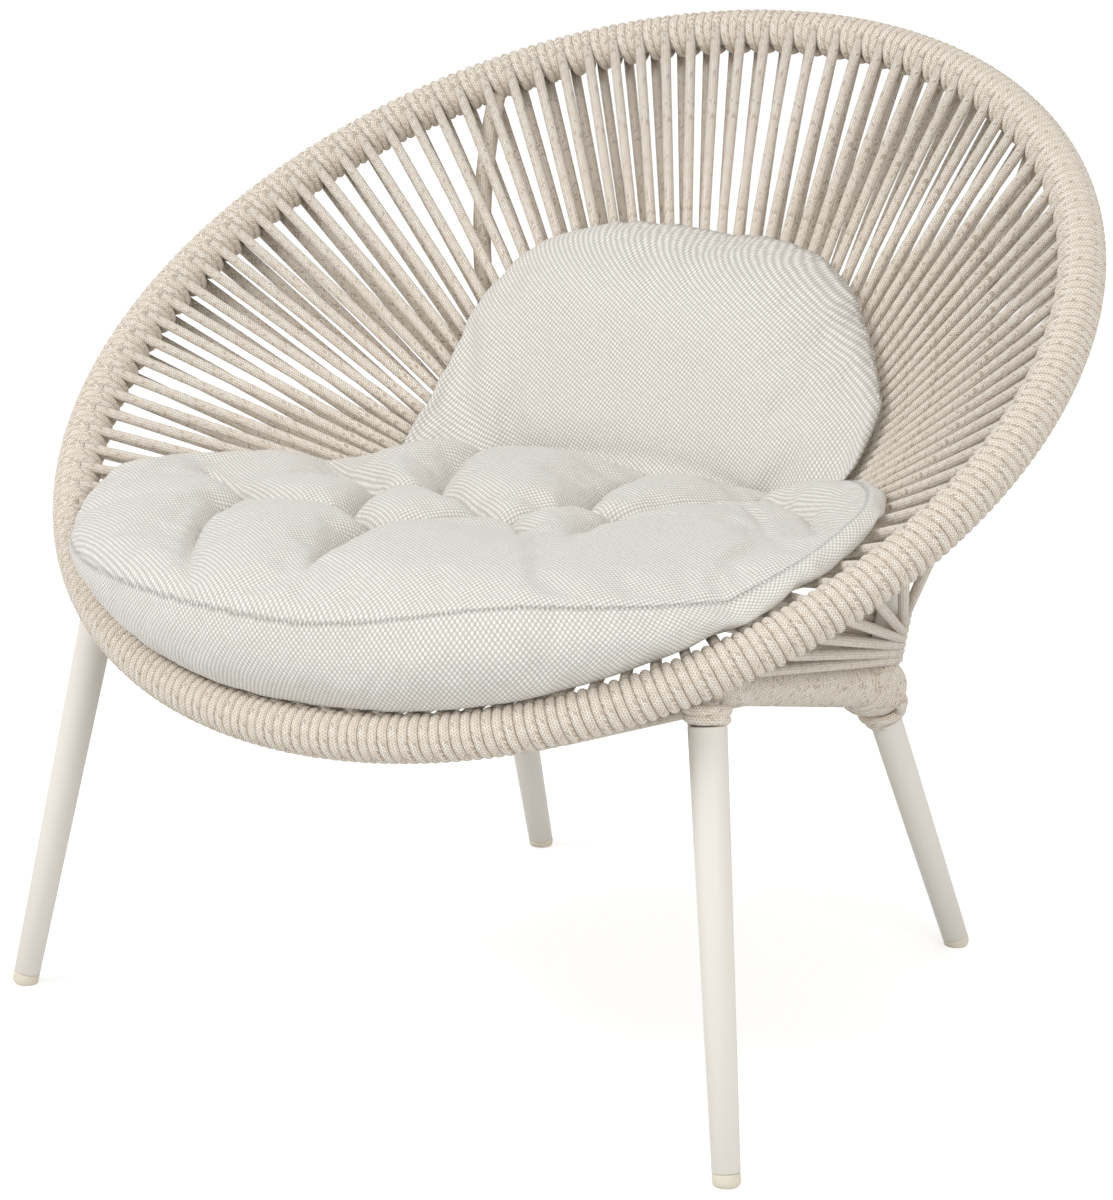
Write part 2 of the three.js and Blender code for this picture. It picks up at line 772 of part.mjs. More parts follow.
// Rows of sewn tufts, the middle row half a pitch across from the outer ones
const tufts = tuftRowShares.flatMap((share, row) => {
  const count = tuftsPerRow[row];
  return Array.from({ length: count }, (_, i) => {
    return new THREE.Vector2((i - (count - 1) / 2) * tuftPitch, share * tuftRowReach);
  });
});

function tuftDip(x, y) {
  return tufts.reduce((dip, tuft) => {
    const distance = Math.hypot(x - tuft.x, y - tuft.y);
    return Math.max(dip, tuftDepth * Math.exp(-((distance / tuftRadius) ** 2)));
  }, 0);
}

// A point of a rounded outline of unit reach, from a circle up to nearly a square
function outlinePoint(angle, power) {
  const [c, s] = [Math.cos(angle), Math.sin(angle)];
  const reach = (Math.abs(c) ** power + Math.abs(s) ** power) ** (-1 / power);
  return new THREE.Vector2(reach * c, reach * s);
}

// A place on the seat cushion's own plan, with the cushion turned a little in the bowl
function seatPlace(across, forward) {
  const place = new THREE.Vector2(across, forward).rotateAround(new THREE.Vector2(), seatTurn);
  return place.add(new THREE.Vector2(seatDrift, seatMiddle));
}

// A place on that plan at a share of the way from its middle to its outline
function seatUnder(angle, share) {
  const unit = outlinePoint(angle, seatOutlinePower);
  const taper = seatTaperShare * Math.max(unit.y, 0);
  const across = share * seatHalfWidth * unit.x * (1 - taper);
  const forward = share * seatHalfDepth * unit.y;
  return { place: seatPlace(across, forward), dip: tuftDip(across, forward) };
}

function seatPoint(angle, share, upper) {
  const edge = seatUnder(angle, 1).place;
  const { place, dip } = seatUnder(angle, share);
  const { x, y } = place;
  const seam = Math.max(seatSeamHeight, bowlHeight(edge.x, edge.y) + cushionGap + seamMargin);
  const rest = bowlHeight(x, y) + cushionGap;
  if (upper) {
    const fullness = Math.sqrt(1 - share ** crownPower);
    const crown = THREE.MathUtils.lerp(seam, seatSeamHeight + seatCrown, fullness);
    const level = crown - dip * fullness;
    return new THREE.Vector3(x, y, Math.max(level, rest + seatThickness * fullness));
  }
  return new THREE.Vector3(x, y, THREE.MathUtils.lerp(rest, seam, share ** restPower));
}

const seatCushion = cushion(seatColumns, seatRingShares, seatPoint);
add('seat_cushion', seatCushion, cloth);

// The y of the rear edge of the seat cushion at the given x
function seatRearEdge(x) {
  let rear = seatMiddle;
  for (let j = 0; j < seatColumns; j += 1) {
    const edges = [j, j + 1].map((column) => seatUnder(2 * Math.PI * column / seatColumns, 1).place);
    const share = (x - edges[0].x) / (edges[1].x - edges[0].x);
    if (share >= 0 && share <= 1) rear = Math.max(rear, edges[0].lerp(edges[1], share).y);
  }
  return rear;
}

function backPoint(angle, share, upper) {
  const unit = outlinePoint(angle, backOutlinePower);
  const rise = share * unit.y * backHalfHeight;
  const across = share * backHalfWidth * unit.x * (1 - backTaperShare * unit.y);
  const [x, z] = [across - rise * backSlant, backMiddle + rise];
  const wall = backWall(x, z) - cushionGap;
  const crown = Math.sqrt(1 - share ** crownPower);
  const seam = wall - backSeamOffset;
  const facing = seatRearEdge(x) + cushionGap + (z - backBottom) * Math.tan(backLean);
  const front = seam - crown * Math.max(backCrown, seam - facing);
  return new THREE.Vector3(x, upper ? front : THREE.MathUtils.lerp(seam, wall, crown), z);
}

// The back cushion is cut back to a gap over, behind and under the edge of the seat cushion
const backCushion = cushion(backColumns, backRingShares, backPoint);
const seatSpaces = [1, 0, -1].map((way) => seatCushion.clone().translate(0, cushionGap, way * cushionGap));
add('back_cushion', cut(backCushion, ...seatSpaces), cloth);

export default group;
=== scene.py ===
# Round rope lounge chair: braided cord on a tilted hoop, tapered legs, a tufted seat cushion and a plain
# back cushion. All sizes are real ones. +Z is up, and the front of the seat faces -Y.
import json
import math
from bisect import bisect_right

import bmesh
import bpy
import numpy
from mathutils import Matrix, Vector
from mathutils.bvhtree import BVHTree
from mathutils.geometry import delaunay_2d_cdt


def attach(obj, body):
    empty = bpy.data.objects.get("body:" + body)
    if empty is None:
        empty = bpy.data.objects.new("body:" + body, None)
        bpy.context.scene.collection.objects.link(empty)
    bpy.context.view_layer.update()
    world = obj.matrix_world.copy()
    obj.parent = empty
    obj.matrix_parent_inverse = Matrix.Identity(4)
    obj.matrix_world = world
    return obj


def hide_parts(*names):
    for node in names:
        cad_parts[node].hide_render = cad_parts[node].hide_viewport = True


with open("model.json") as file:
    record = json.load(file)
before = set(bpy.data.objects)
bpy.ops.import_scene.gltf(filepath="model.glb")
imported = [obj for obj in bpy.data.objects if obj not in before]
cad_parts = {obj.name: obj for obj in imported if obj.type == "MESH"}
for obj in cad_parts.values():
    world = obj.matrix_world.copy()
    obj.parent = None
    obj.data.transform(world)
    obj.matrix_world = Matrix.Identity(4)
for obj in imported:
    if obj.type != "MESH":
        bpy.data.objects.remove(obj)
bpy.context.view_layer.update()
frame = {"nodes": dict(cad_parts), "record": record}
scene = bpy.context.scene

MM = 0.001
TURN = 2 * math.pi

# Camera, fitted to the hoop, the legs and the feet
CAMERA_AZIMUTH = math.radians(35.991)
CAMERA_ELEVATION = math.radians(15.318)
CAMERA_ROLL = math.radians(0.383)
CAMERA_DISTANCE = 3218.96 * MM
CAMERA_LENS = 124.19
CAMERA_SENSOR = 36
AIM_ASIDE = -5.727 * MM
AIM_HEIGHT = 313.15 * MM

# Cord
CORD_RADIUS = 4.15 * MM
CORD_PITCH = 7.8 * MM
CORD_SIDES = 12
POINTS_PER_TURN = 24
END_CAP = 0.02 * MM

# Hoop and seat ring
RIM_RADIUS = 402 * MM
RIM_HEIGHT = 506 * MM
RIM_TILT = math.radians(31.8)
RING_RADIUS = 140 * MM
RING_HEIGHT = 351 * MM
RING_SETBACK = 96 * MM
RING_TILT = math.radians(16)
TUBE_RADIUS = 10 * MM
WRAP_LINE = TUBE_RADIUS + 4 * MM
WRAP_RADIUS = TUBE_RADIUS + 2 * CORD_RADIUS

# Strands
PAIR_COUNT = 108
PAIRS_PER_PANEL = 9
PAIR_STEP = TURN / PAIR_COUNT
RIM_SLIP = 1.95 * MM / RIM_RADIUS
RING_SLIP = 1.5 * MM / RING_RADIUS
LEAVING_TURN = 2.25 * TURN
SIDES = (("left", -1), ("right", 1))
FRONT_PAIRS = 8
SIDE_GAP_PAIRS = 14

# Rails, arch and legs
RAIL_JOINT = math.radians(45)
REAR_SPREAD = 183 * MM
REAR_SETBACK = 166 * MM
REAR_HEIGHT = 238 * MM
RAIL_OVERRUN = 12 * MM
ARCH_LEAN = math.radians(19.4)
ARCH_RISE = 122.2 * MM
ARCH_BEND = 60 * MM
FRONT_LEG_INSET = 29 * MM
LEG_DROP = 32 * MM
FRONT_FOOT = (335 * MM, -263 * MM)
REAR_FOOT = (211 * MM, 261 * MM)
FOOT_RADIUS = 10.2 * MM
LEG_TAPER = 0.0118
FOOT_CAP_HEIGHT = 9 * MM
FOOT_CAP_GAP = 0.3 * MM
LEG_EDGE = 0.8 * MM
COLLAR_SPAN = (19 * MM, 31 * MM)
COLLAR_REACH = 12.4 * MM
COLLAR_FLARE = {"front": 2 * MM, "rear": 6 * MM}
COLLAR_PITCH = 6.4 * MM
STRUT_RADIUS = 7.5 * MM
STRUT_RIM_ANGLE = math.radians(140)
STRUT_RING_ANGLE = math.radians(112)
STRUT_START = 0.03
STRUT_LENGTH = 0.9

# Cords that leave the hoop for the rails and the arch
FIRST_SIDE_CORD = 15
SIDE_CORDS = 7
SIDE_CORD_START = 22.5 * MM
SIDE_CORD_PITCH = 5.8 * MM
FIRST_DECK_CORD = 8
DECK_CORDS = 3
DECK_CORD_START = 70 * MM
DECK_CORD_PITCH = 14 * MM


def add_camera():
    back = Vector((
        math.sin(CAMERA_AZIMUTH) * math.cos(CAMERA_ELEVATION),
        -math.cos(CAMERA_AZIMUTH) * math.cos(CAMERA_ELEVATION),
        math.sin(CAMERA_ELEVATION),
    ))
    right = Vector((math.cos(CAMERA_AZIMUTH), math.sin(CAMERA_AZIMUTH), 0))
    up = back.cross(right)
    aim = right * AIM_ASIDE + Vector((0, 0, AIM_HEIGHT))
    roll = Matrix.Rotation(CAMERA_ROLL, 3, back)
    axes = Matrix((roll @ right, roll @ up, back)).transposed()
    data = bpy.data.cameras.new("camera")
    data.sensor_fit = "VERTICAL"
    data.sensor_width = data.sensor_height = CAMERA_SENSOR
    data.lens = CAMERA_LENS
    camera = bpy.data.objects.new("camera", data)
    camera.matrix_world = Matrix.Translation(aim + back * CAMERA_DISTANCE) @ axes.to_4x4()
    scene.collection.objects.link(camera)
    scene.camera = camera


# Materials

def give(tree, socket, value):
    """Links a socket to the one that is given, or sets its value."""
    if isinstance(value, bpy.types.NodeSocket):
        tree.links.new(value, socket)
    else:
        socket.default_value = value


def sum_node(tree, operation, *values):
    made = tree.nodes.new("ShaderNodeMath")
    made.operation = operation
    for socket, value in zip(made.inputs, values):
        give(tree, socket, value)
    return made.outputs[0]


class Finish:
    """A material with a short way to add nodes and to do sums on their sockets."""

    def __init__(self, name, **settings):
        self.material = bpy.data.materials.new(name)
        self.material.use_nodes = True
        self.tree = self.material.node_tree
        self.shader = self.tree.nodes["Principled BSDF"]
        for socket, value in settings.items():
            self.shader.inputs[socket.replace("_", " ")].default_value = value

    def node(self, kind, **inputs):
        made = self.tree.nodes.new(kind)
        for name, value in inputs.items():
            self.give(made.inputs[name.replace("_", " ")], value)
        return made

    def give(self, socket, value):
        give(self.tree, socket, value)

    def sum(self, operation, *values):
        return sum_node(self.tree, operation, *values)

    def times(self, first, second):
        return self.sum("MULTIPLY", first, second)

    def square(self, value):
        return self.times(value, value)

    def one_less(self, value):
        return self.sum("SUBTRACT", 1.0, value)

    def cells(self, value):
        """The number of the cell that a value lies in, and how far through that cell it is."""
        number = self.sum("FLOOR", value)
        return number, self.sum("SUBTRACT", value, number)

    def mix(self, share, first, second):
        made = self.tree.nodes.new("ShaderNodeMix")
        made.data_type = "RGBA"
        self.give(made.inputs["Factor"], share)
        self.give(made.inputs[6], first)
        self.give(made.inputs[7], second)
        return made.outputs[2]

    def vector(self, x, y, z=0.0):
        return self.node("ShaderNodeCombineXYZ", X=x, Y=y, Z=z).outputs[0]

    def random(self, x, y, z=0.0):
        made = self.tree.nodes.new("ShaderNodeTexWhiteNoise")
        made.noise_dimensions = "3D"
        self.give(made.inputs["Vector"], self.vector(x, y, z))
        return made.outputs["Value"]

    def cloud(self, place, scale, detail=2.0):
        made = self.node("ShaderNodeTexNoise", Vector=place, Scale=scale, Detail=detail)
        return made.outputs["Fac"]

    def object_place(self):
        return self.node("ShaderNodeTexCoord").outputs["Object"]

    def surface_place(self):
        """The two parts of the piece's own UV map."""
        split = self.node("ShaderNodeSeparateXYZ", Vector=self.node("ShaderNodeUVMap").outputs["UV"])
        return split.outputs["X"], split.outputs["Y"]

    def attribute(self, name):
        made = self.tree.nodes.new("ShaderNodeAttribute")
        made.attribute_name = name
        return made.outputs["Fac"]

    def bump(self, height, distance, strength=1.0, below=None):
        made = self.node("ShaderNodeBump", Height=height, Distance=distance, Strength=strength)
        if below:
            self.give(made.inputs["Normal"], below)
        return made.outputs["Normal"]

    def finish(self, colour, normal=None):
        self.give(self.shader.inputs["Base Color"], colour)
        if normal:
            self.give(self.shader.inputs["Normal"], normal)
        return self.material


def srgb(red, green, blue):
    """A colour written as it looks on screen, from 0 to 255."""
    return [(value / 255) ** 2.2 for value in (red, green, blue)] + [1.0]


def powder_coat(name, colour, grain=0.05):
    """Matt paint with a fine orange-peel grain."""
    made = Finish(name, Roughness=0.55)
    place = made.object_place()
    shade = made.times(made.cloud(place, 35.0), 0.10)
    darker = [value * 0.9 for value in colour[:3]] + [1.0]
    peel = made.cloud(place, 1400.0)
    return made.finish(made.mix(shade, colour, darker), made.bump(peel, grain * MM))


def zinc_plate():
    made = Finish("zinc plate", Roughness=0.38, Metallic=1.0)
    shade = made.cloud(made.object_place(), 300.0, 4.0)
    return made.finish(made.mix(shade, srgb(190, 193, 196), srgb(160, 163, 166)))


def braided(name, columns, stitch, colours, relief):
    """Braided yarn: columns of slanted stitches whose slant turns from one column to the next, with
    painted shade darkening the gaps between stitches.
    """
    made = Finish(name, Roughness=0.92, Specular_IOR_Level=0.25, Sheen_Weight=0.15)
    along, around = made.surface_place()
    column, strip_share = made.cells(made.times(around, columns))
    across = made.sum("SUBTRACT", strip_share, 0.5)
    slant = made.sum("SUBTRACT", made.times(made.sum("MODULO", column, 2.0), 2.0), 1.0)
    run = made.sum("ADD", made.sum("DIVIDE", along, stitch), made.times(across, slant))
    step, share = made.cells(run)
    belly = made.sum("SINE", made.times(share, math.pi))
    edge = made.one_less(made.times(made.square(across), 2.4))
    height = made.times(made.sum("POWER", belly, 0.6), edge)
    light, middle, dark = colours
    yarn = made.mix(made.random(column, step), light, middle)
    fleck = made.sum("GREATER_THAN", made.random(column, step, 7.0), 0.9)
    yarn = made.mix(made.times(fleck, 0.4), yarn, dark)
    # Painted shade: the gaps between the stitches are darkened towards the dark colour.
    shadow = made.times(made.square(made.one_less(height)), 0.95)
    return made.finish(made.mix(shadow, yarn, dark), made.bump(height, relief))


THREAD = 1.95 * MM
WEAVE_RELIEF = 0.25 * MM
GROOVE_DEPTH = 1.2 * MM
GROOVE_WIDTH = 1.7 * MM
STITCH_LENGTH = 3.2 * MM


def upholstery():
    """Plain weave of two yarns on the cushion's flat pattern, with a stitched groove at its seams, and
    painted shade between the threads and in the groove.
    """
    made = Finish("woven cushion cloth", Roughness=0.93, Specular_IOR_Level=0.2, Sheen_Weight=0.2)
    across, along = made.surface_place()
    warp, warp_share = made.cells(made.sum("DIVIDE", across, THREAD))
    weft, weft_share = made.cells(made.sum("DIVIDE", along, THREAD))
    over = made.sum("FLOORED_MODULO", made.sum("ADD", warp, weft), 2.0)
    shares = [made.square(made.sum("SUBTRACT", share, 0.5)) for share in (warp_share, weft_share)]
    dome = made.sum("MAXIMUM", made.one_less(made.times(3.0, made.sum("ADD", *shares))), 0.0)
    height = made.times(dome, made.sum("ADD", 0.35, made.times(over, 0.65)))
    yarn = made.mix(over, srgb(200, 196, 189), srgb(252, 249, 244))
    yarn = made.mix(made.times(made.random(warp, weft), 0.25), yarn, srgb(206, 202, 194))
    # Painted shade: the colour darkens from the crown of each thread crossing towards the gaps between
    # threads.
    colour = made.mix(made.times(made.one_less(dome), 0.35), yarn, srgb(176, 172, 163))
    # Painted shade along the sewn groove at the seams, darker at each stitch along it.
    depth = made.one_less(made.sum("DIVIDE", made.attribute("sewn"), GROOVE_WIDTH))
    groove = made.sum("MAXIMUM", depth, 0.0)
    stitch = made.sum("SINE", made.times(made.attribute("run"), TURN / STITCH_LENGTH))
    line = made.times(groove, made.sum("ADD", 0.3, made.times(stitch, 0.25)))
    woven = made.bump(height, WEAVE_RELIEF)
    sewn = made.bump(made.one_less(groove), GROOVE_DEPTH, below=woven)
    return made.finish(made.mix(line, colour, srgb(120, 115, 106)), sewn)


# Light and middle yarns, and a dark brown that serves both for the yarn's flecks and for the painted
# shade in the gaps between stitches.
CORD_YARNS_AND_GAP_SHADE = (srgb(255, 251, 241), srgb(242, 230, 213), srgb(150, 122, 94))
LEG_PAINT = powder_coat("leg powder coat", srgb(234, 229, 220))
FRAME_PAINT = powder_coat("frame powder coat", srgb(228, 224, 216))
FOOT_PLASTIC = powder_coat("foot cap plastic", srgb(226, 218, 200), grain=0.02)
ZINC = zinc_plate()
CORD = braided("braided cord", 12, 2.0 * MM, CORD_YARNS_AND_GAP_SHADE, 0.45 * MM)
STRUT_SLEEVE = braided("braided strut sleeve", 20, 2.0 * MM, CORD_YARNS_AND_GAP_SHADE, 0.45 * MM)
CLOTH = upholstery()


# Places on the hoop, the ring and the strands between them. Angle zero is the front.

def hoop_point(radius, height, setback, tilt, angle):
    forward = radius * math.cos(angle)
    return Vector((
        radius * math.sin(angle),
        setback - forward * math.cos(tilt),
        height - forward * math.sin(tilt),
    ))


def rim_point(angle):
    return hoop_point(RIM_RADIUS, RIM_HEIGHT, 0, RIM_TILT, angle)


def ring_point(angle):
    return hoop_point(RING_RADIUS, RING_HEIGHT, RING_SETBACK, RING_TILT, angle)


def tangent(tilt, angle):
    return hoop_point(1, 0, 0, tilt, angle + math.pi / 2)


def section(centre, other, side):
    """Across a tube: away from the other place, and square to that on the upper side."""
    out = centre - other
    out = (out - side * out.dot(side)).normalized()
    up = out.cross(side).normalized()
    return out, up if up.z > 0 else -up


def rim_section(angle):
    return section(rim_point(angle), ring_point(angle), tangent(RIM_TILT, angle))


def ring_section(angle):
    out, up = section(ring_point(angle), rim_point(angle), tangent(RING_TILT, angle))
    return -out, up


def pair_angle(index):
    return (index + 0.5) * PAIR_STEP


# Cord swept along its path

def capped(points):
    """Adds a point of no thickness at each end, so that the cord is closed."""
    first = points[0] + (points[0] - points[1]).normalized() * END_CAP
    last = points[-1] + (points[-1] - points[-2]).normalized() * END_CAP
    return [first, *points, last], [0.0, *[1.0] * len(points), 0.0]


CLOSED_ENDS = 0.002 * MM


def sweep_tree():
    """Sweeps a round section along each path and keeps the length and the turn as a UV map."""
    tree = bpy.data.node_groups.new("cord along its path", "GeometryNodeTree")
    for name, way, kind in (("Geometry", "INPUT", "Geometry"), ("Cord Radius", "INPUT", "Float"),
                            ("Sides", "INPUT", "Int"), ("Finish", "INPUT", "Material"),
                            ("Geometry", "OUTPUT", "Geometry")):
        tree.interface.new_socket(name, in_out=way, socket_type=f"NodeSocket{kind}")

    def fill(node, inputs):
        for name, value in inputs.items():
            give(tree, node.inputs[name], value)
        return node.outputs

    def add(kind, inputs, **settings):
        node = tree.nodes.new(kind)
        for name, value in settings.items():
            setattr(node, name, value)
        return fill(node, inputs)

    def keep(name, geometry, value):
        """Keeps a value of the spline on the curve, and gives back the curve and the value."""
        node = tree.nodes.new("GeometryNodeCaptureAttribute")
        node.capture_items.new("FLOAT", name)
        spline = add("GeometryNodeSplineParameter", {})
        outputs = fill(node, {"Geometry": geometry, name: spline[value]})
        return outputs["Geometry"], outputs[name]

    given = add("NodeGroupInput", {})
    path = add("GeometryNodeMeshToCurve", {"Mesh": given["Geometry"]})
    path, length = keep("Length", path[0], "Length")
    points = sum_node(tree, "ADD", given["Sides"], 1)
    arc = {"Sweep Angle": TURN, "Resolution": points, "Radius": given["Cord Radius"]}
    profile = add("GeometryNodeCurveArc", arc)
    profile, turn = keep("Turn", profile["Curve"], "Factor")
    thickness = add("GeometryNodeInputNamedAttribute", {"Name": "thickness"}, data_type="FLOAT")
    swept = {"Curve": path, "Profile Curve": profile, "Scale": thickness["Attribute"]}
    tube = add("GeometryNodeCurveToMesh", swept)
    pair = add("ShaderNodeCombineXYZ", {"X": length, "Y": turn})
    stored = {"Name": "UVMap", "Geometry": tube["Mesh"], "Value": pair[0]}
    store = add("GeometryNodeStoreNamedAttribute", stored, data_type="FLOAT2", domain="CORNER")
    merge = add("GeometryNodeMergeByDistance", {"Distance": CLOSED_ENDS, "Geometry": store[0]})
    smooth = add("GeometryNodeSetShadeSmooth", {"Geometry": merge[0]})
    whole = add("GeometryNodeRealizeInstances", {0: smooth[0]})
    paint = add("GeometryNodeSetMaterial", {"Geometry": whole[0], "Material": given["Finish"]})
    add("NodeGroupOutput", {"Geometry": paint[0]})
    return tree


SWEEP = sweep_tree()


def link_piece(name, mesh):
    piece = bpy.data.objects.new(name, mesh)
    scene.collection.objects.link(piece)
    return piece


def declare(piece, slot, *nodes):
    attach(piece, "root")
    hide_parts(*nodes)
    return piece


def as_modified(piece):
    return piece.evaluated_get(bpy.context.evaluated_depsgraph_get())


def apply_modifier(piece, modifier):
    """Keeps the piece's mesh as the modifier leaves it."""
    mesh = bpy.data.meshes.new_from_object(as_modified(piece))
    piece.modifiers.remove(modifier)
    piece.data = mesh


def through_tree(piece, tree, settings):
    """Runs a node tree on a piece with the named settings and keeps the result as a plain mesh."""
    modifier = piece.modifiers.new("tree", "NODES")
    modifier.node_group = tree
    for item in tree.interface.items_tree:
        if item.in_out == "INPUT" and item.name in settings:
            modifier[item.identifier] = settings[item.name]
    apply_modifier(piece, modifier)
    return piece


def sweep(name, paths, radius=CORD_RADIUS, sides=CORD_SIDES, finish=None):
    """One piece with a tube of the given radius along each path."""
    points, edges, thickness = [], [], []
    for path in paths:
        first = len(points)
        path_points, path_thickness = capped(path)
        points += path_points
        thickness += path_thickness
        edges += [(first + i, first + i + 1) for i in range(len(path_points) - 1)]
    mesh = bpy.data.meshes.new(name)
    mesh.from_pydata(points, edges, [])
    mesh.attributes.new("thickness", "FLOAT", "POINT").data.foreach_set("value", thickness)
    piece = link_piece(name, mesh)
    settings = {"Cord Radius": radius, "Sides": sides, "Finish": finish or CORD}
    return through_tree(piece, SWEEP, settings)


# Cord on the hoop and the ring

def rail_front(side):
    return rim_point(side * RAIL_JOINT)


def rail_rear(side):
    return Vector((side * REAR_SPREAD, REAR_SETBACK, REAR_HEIGHT))


def arch_point(x, rise):
    back, up = rise * math.sin(ARCH_LEAN), rise * math.cos(ARCH_LEAN)
    return Vector((x, REAR_SETBACK + back, REAR_HEIGHT + up))


def side_cord_rise(number):
    return SIDE_CORD_START + (number - FIRST_SIDE_CORD) * SIDE_CORD_PITCH


def side_and_number(index):
    """On which side a pair lies, and its number from the front."""
    return (1, index) if index < PAIR_COUNT / 2 else (-1, PAIR_COUNT - 1 - index)


def has_lower_strand(index):
    number = side_and_number(index)[1]
    return number < FRONT_PAIRS or number >= FRONT_PAIRS + SIDE_GAP_PAIRS


def comes_from(index):
    """The place from which the cord reaches the lower face of the hoop."""
    side, number = side_and_number(index)
    if FIRST_SIDE_CORD <= number < FIRST_SIDE_CORD + SIDE_CORDS:
        place = arch_point(side * REAR_SPREAD, side_cord_rise(number))
        return place + Vector((side * WRAP_LINE, 0, 0))
    if FIRST_DECK_CORD <= number < FIRST_DECK_CORD + DECK_CORDS:
        inset = DECK_CORD_START - (number - FIRST_DECK_CORD) * DECK_CORD_PITCH
        seat = rail_rear(side) + (rail_front(side) - rail_rear(side)).normalized() * inset
        return seat - Vector((side * (WRAP_LINE + CORD_RADIUS), 0, 0))
    return ring_point(pair_angle(index))


def arrival_turn(index):
    """Where on the tube's section the cord touches down, so that it runs straight to its place."""
    angle = pair_angle(index) - RIM_SLIP
    out, up = rim_section(angle)
    way = comes_from(index) - rim_point(angle)
    flat = Vector((way.dot(out), way.dot(up))).normalized()
    return math.atan2(flat.x, -flat.y)


def on_rim(angle, turn):
    out, up = rim_section(angle)
    return rim_point(angle) + (out * math.cos(turn) + up * math.sin(turn)) * WRAP_LINE


def hoop_turns(index):
    """The turns between the lower strand of one pair and the upper strand of the next."""
    first, last = arrival_turn(index), LEAVING_TURN
    leave = pair_angle(index - 1) + RIM_SLIP
    count = round((last - first) / TURN * POINTS_PER_TURN)
    points = []
    for i in range(count + 1):
        turn = first + (last - first) * i / count
        points.append(on_rim(leave + (last - turn) / TURN * CORD_PITCH / RIM_RADIUS, turn))
    return points


def on_ring(angle, turn):
    out, up = ring_section(angle)
    return ring_point(angle) + (out * math.cos(turn) + up * math.sin(turn)) * WRAP_LINE


def strand_pair(index):
    """The upper strand, the half turn behind the ring, and the lower strand where there is one."""
    middle = pair_angle(index)
    points = [on_rim(middle + RIM_SLIP, TURN / 4)]
    half = POINTS_PER_TURN // 2
    for i in range(half + 1):
        angle = middle + RING_SLIP * (1 - 2 * i / half)
        points.append(on_ring(angle, TURN / 4 + TURN / 2 * i / half))
    if has_lower_strand(index):
        points.append(on_rim(middle - RIM_SLIP, -TURN / 4))
    return points


def add_hoop_cords():
    quarter = PAIR_COUNT // 4
    for start, name in enumerate(("front_right", "back_right", "back_left", "front_left")):
        paths = [hoop_turns(start * quarter + i) for i in range(quarter)]
        declare(sweep(f"hoop_turns_{name}", paths), "cord", f"rim_cord_{name}")


def add_strands():
    for panel in range(PAIR_COUNT // PAIRS_PER_PANEL):
        paths = [strand_pair(panel * PAIRS_PER_PANEL + i) for i in range(PAIRS_PER_PANEL)]
        number = f"{panel + 1:02d}"
        declare(sweep(f"strands_{number}", paths), "cord", f"strand_panel_{number}")


# Cord on the rails, the arch and the leg sockets

def axis_frame(start, end):
    along = (end - start).normalized()
    across = along.cross(Vector((0, 0, 1))).normalized()
    return along, across, across.cross(along)


def coil(start, end, radius_at, pitch):
    """A helix round the line from start to end, with a radius that may change on the way."""
    along, across, up = axis_frame(start, end)
    length = (end - start).length
    count = max(2, round(length / pitch * POINTS_PER_TURN))
    points = []
    for i in range(count + 1):
        share = i / count
        turn = share * length / pitch * TURN
        reach = radius_at(share)
        centre = start + along * (share * length)
        points.append(centre + (across * math.cos(turn) + up * math.sin(turn)) * reach)
    return points


RAIL_WRAP_START = 20 * MM
RAIL_WRAP_PITCH = 8 * MM
CORNER_WRAP_LENGTH = 46 * MM
CORNER_WRAP_PITCH = 7.6 * MM
CORNER_TIP = 5 * MM
CORNER_SWELL = 5 * MM
CORNER_CLOSING = 0.78


def corner_reach(share):
    """How far the turns over the rear corner stand out, until they close over its end."""
    swelling = min(1.0, share * 3)
    closing = max(0.0, (share - CORNER_CLOSING) / (1 - CORNER_CLOSING))
    return (WRAP_LINE + CORNER_SWELL * swelling) * math.sqrt(max(0.0, 1 - closing ** 2)) + 2 * MM


def add_rail_cords():
    for word, side in SIDES:
        front, rear = rail_front(side), rail_rear(side)
        along = (rear - front).normalized()
        start, end = front + along * RAIL_WRAP_START, rear + along * RAIL_OVERRUN
        corner, tip = rear - along * CORNER_WRAP_LENGTH, end + along * CORNER_TIP
        paths = [coil(start, end, lambda share: WRAP_LINE, RAIL_WRAP_PITCH),
                 coil(corner, tip, corner_reach, CORNER_WRAP_PITCH)]
        for number in range(FIRST_DECK_CORD, FIRST_DECK_CORD + DECK_CORDS):
            index = number if side > 0 else PAIR_COUNT - 1 - number
            arrival = on_rim(pair_angle(index) - RIM_SLIP, arrival_turn(index))
            paths.append([comes_from(index), arrival])
        declare(sweep(f"rail_turns_{word}", paths), "cord", f"rail_cord_{word}")


def side_cord(index):
    """From the ring, round the back of the arch's foot, and forward to the hoop."""
    side, number = side_and_number(index)
    points = [on_ring(pair_angle(index) - RING_SLIP, -TURN / 4)]
    centre = arch_point(side * REAR_SPREAD, side_cord_rise(number))
    half = POINTS_PER_TURN // 2
    for i in range(half + 1):
        turn = math.pi * (1 - i / half)
        reach = Vector((side * math.cos(turn), math.sin(turn), 0)) * WRAP_LINE
        points.append(centre + reach)
    points.append(on_rim(pair_angle(index) - RIM_SLIP, arrival_turn(index)))
    return points


def add_side_cords():
    for word, side in SIDES:
        paths = []
        for number in range(FIRST_SIDE_CORD, FIRST_SIDE_CORD + SIDE_CORDS):
            paths.append(side_cord(number if side > 0 else PAIR_COUNT - 1 - number))
        declare(sweep(f"corner_cords_{word}", paths), "cord", f"side_cords_{word}")


def strut_point(side, share):
    angle = side * (STRUT_RIM_ANGLE + (STRUT_RING_ANGLE - STRUT_RIM_ANGLE) * share)
    return rim_point(angle).lerp(ring_point(angle), share)


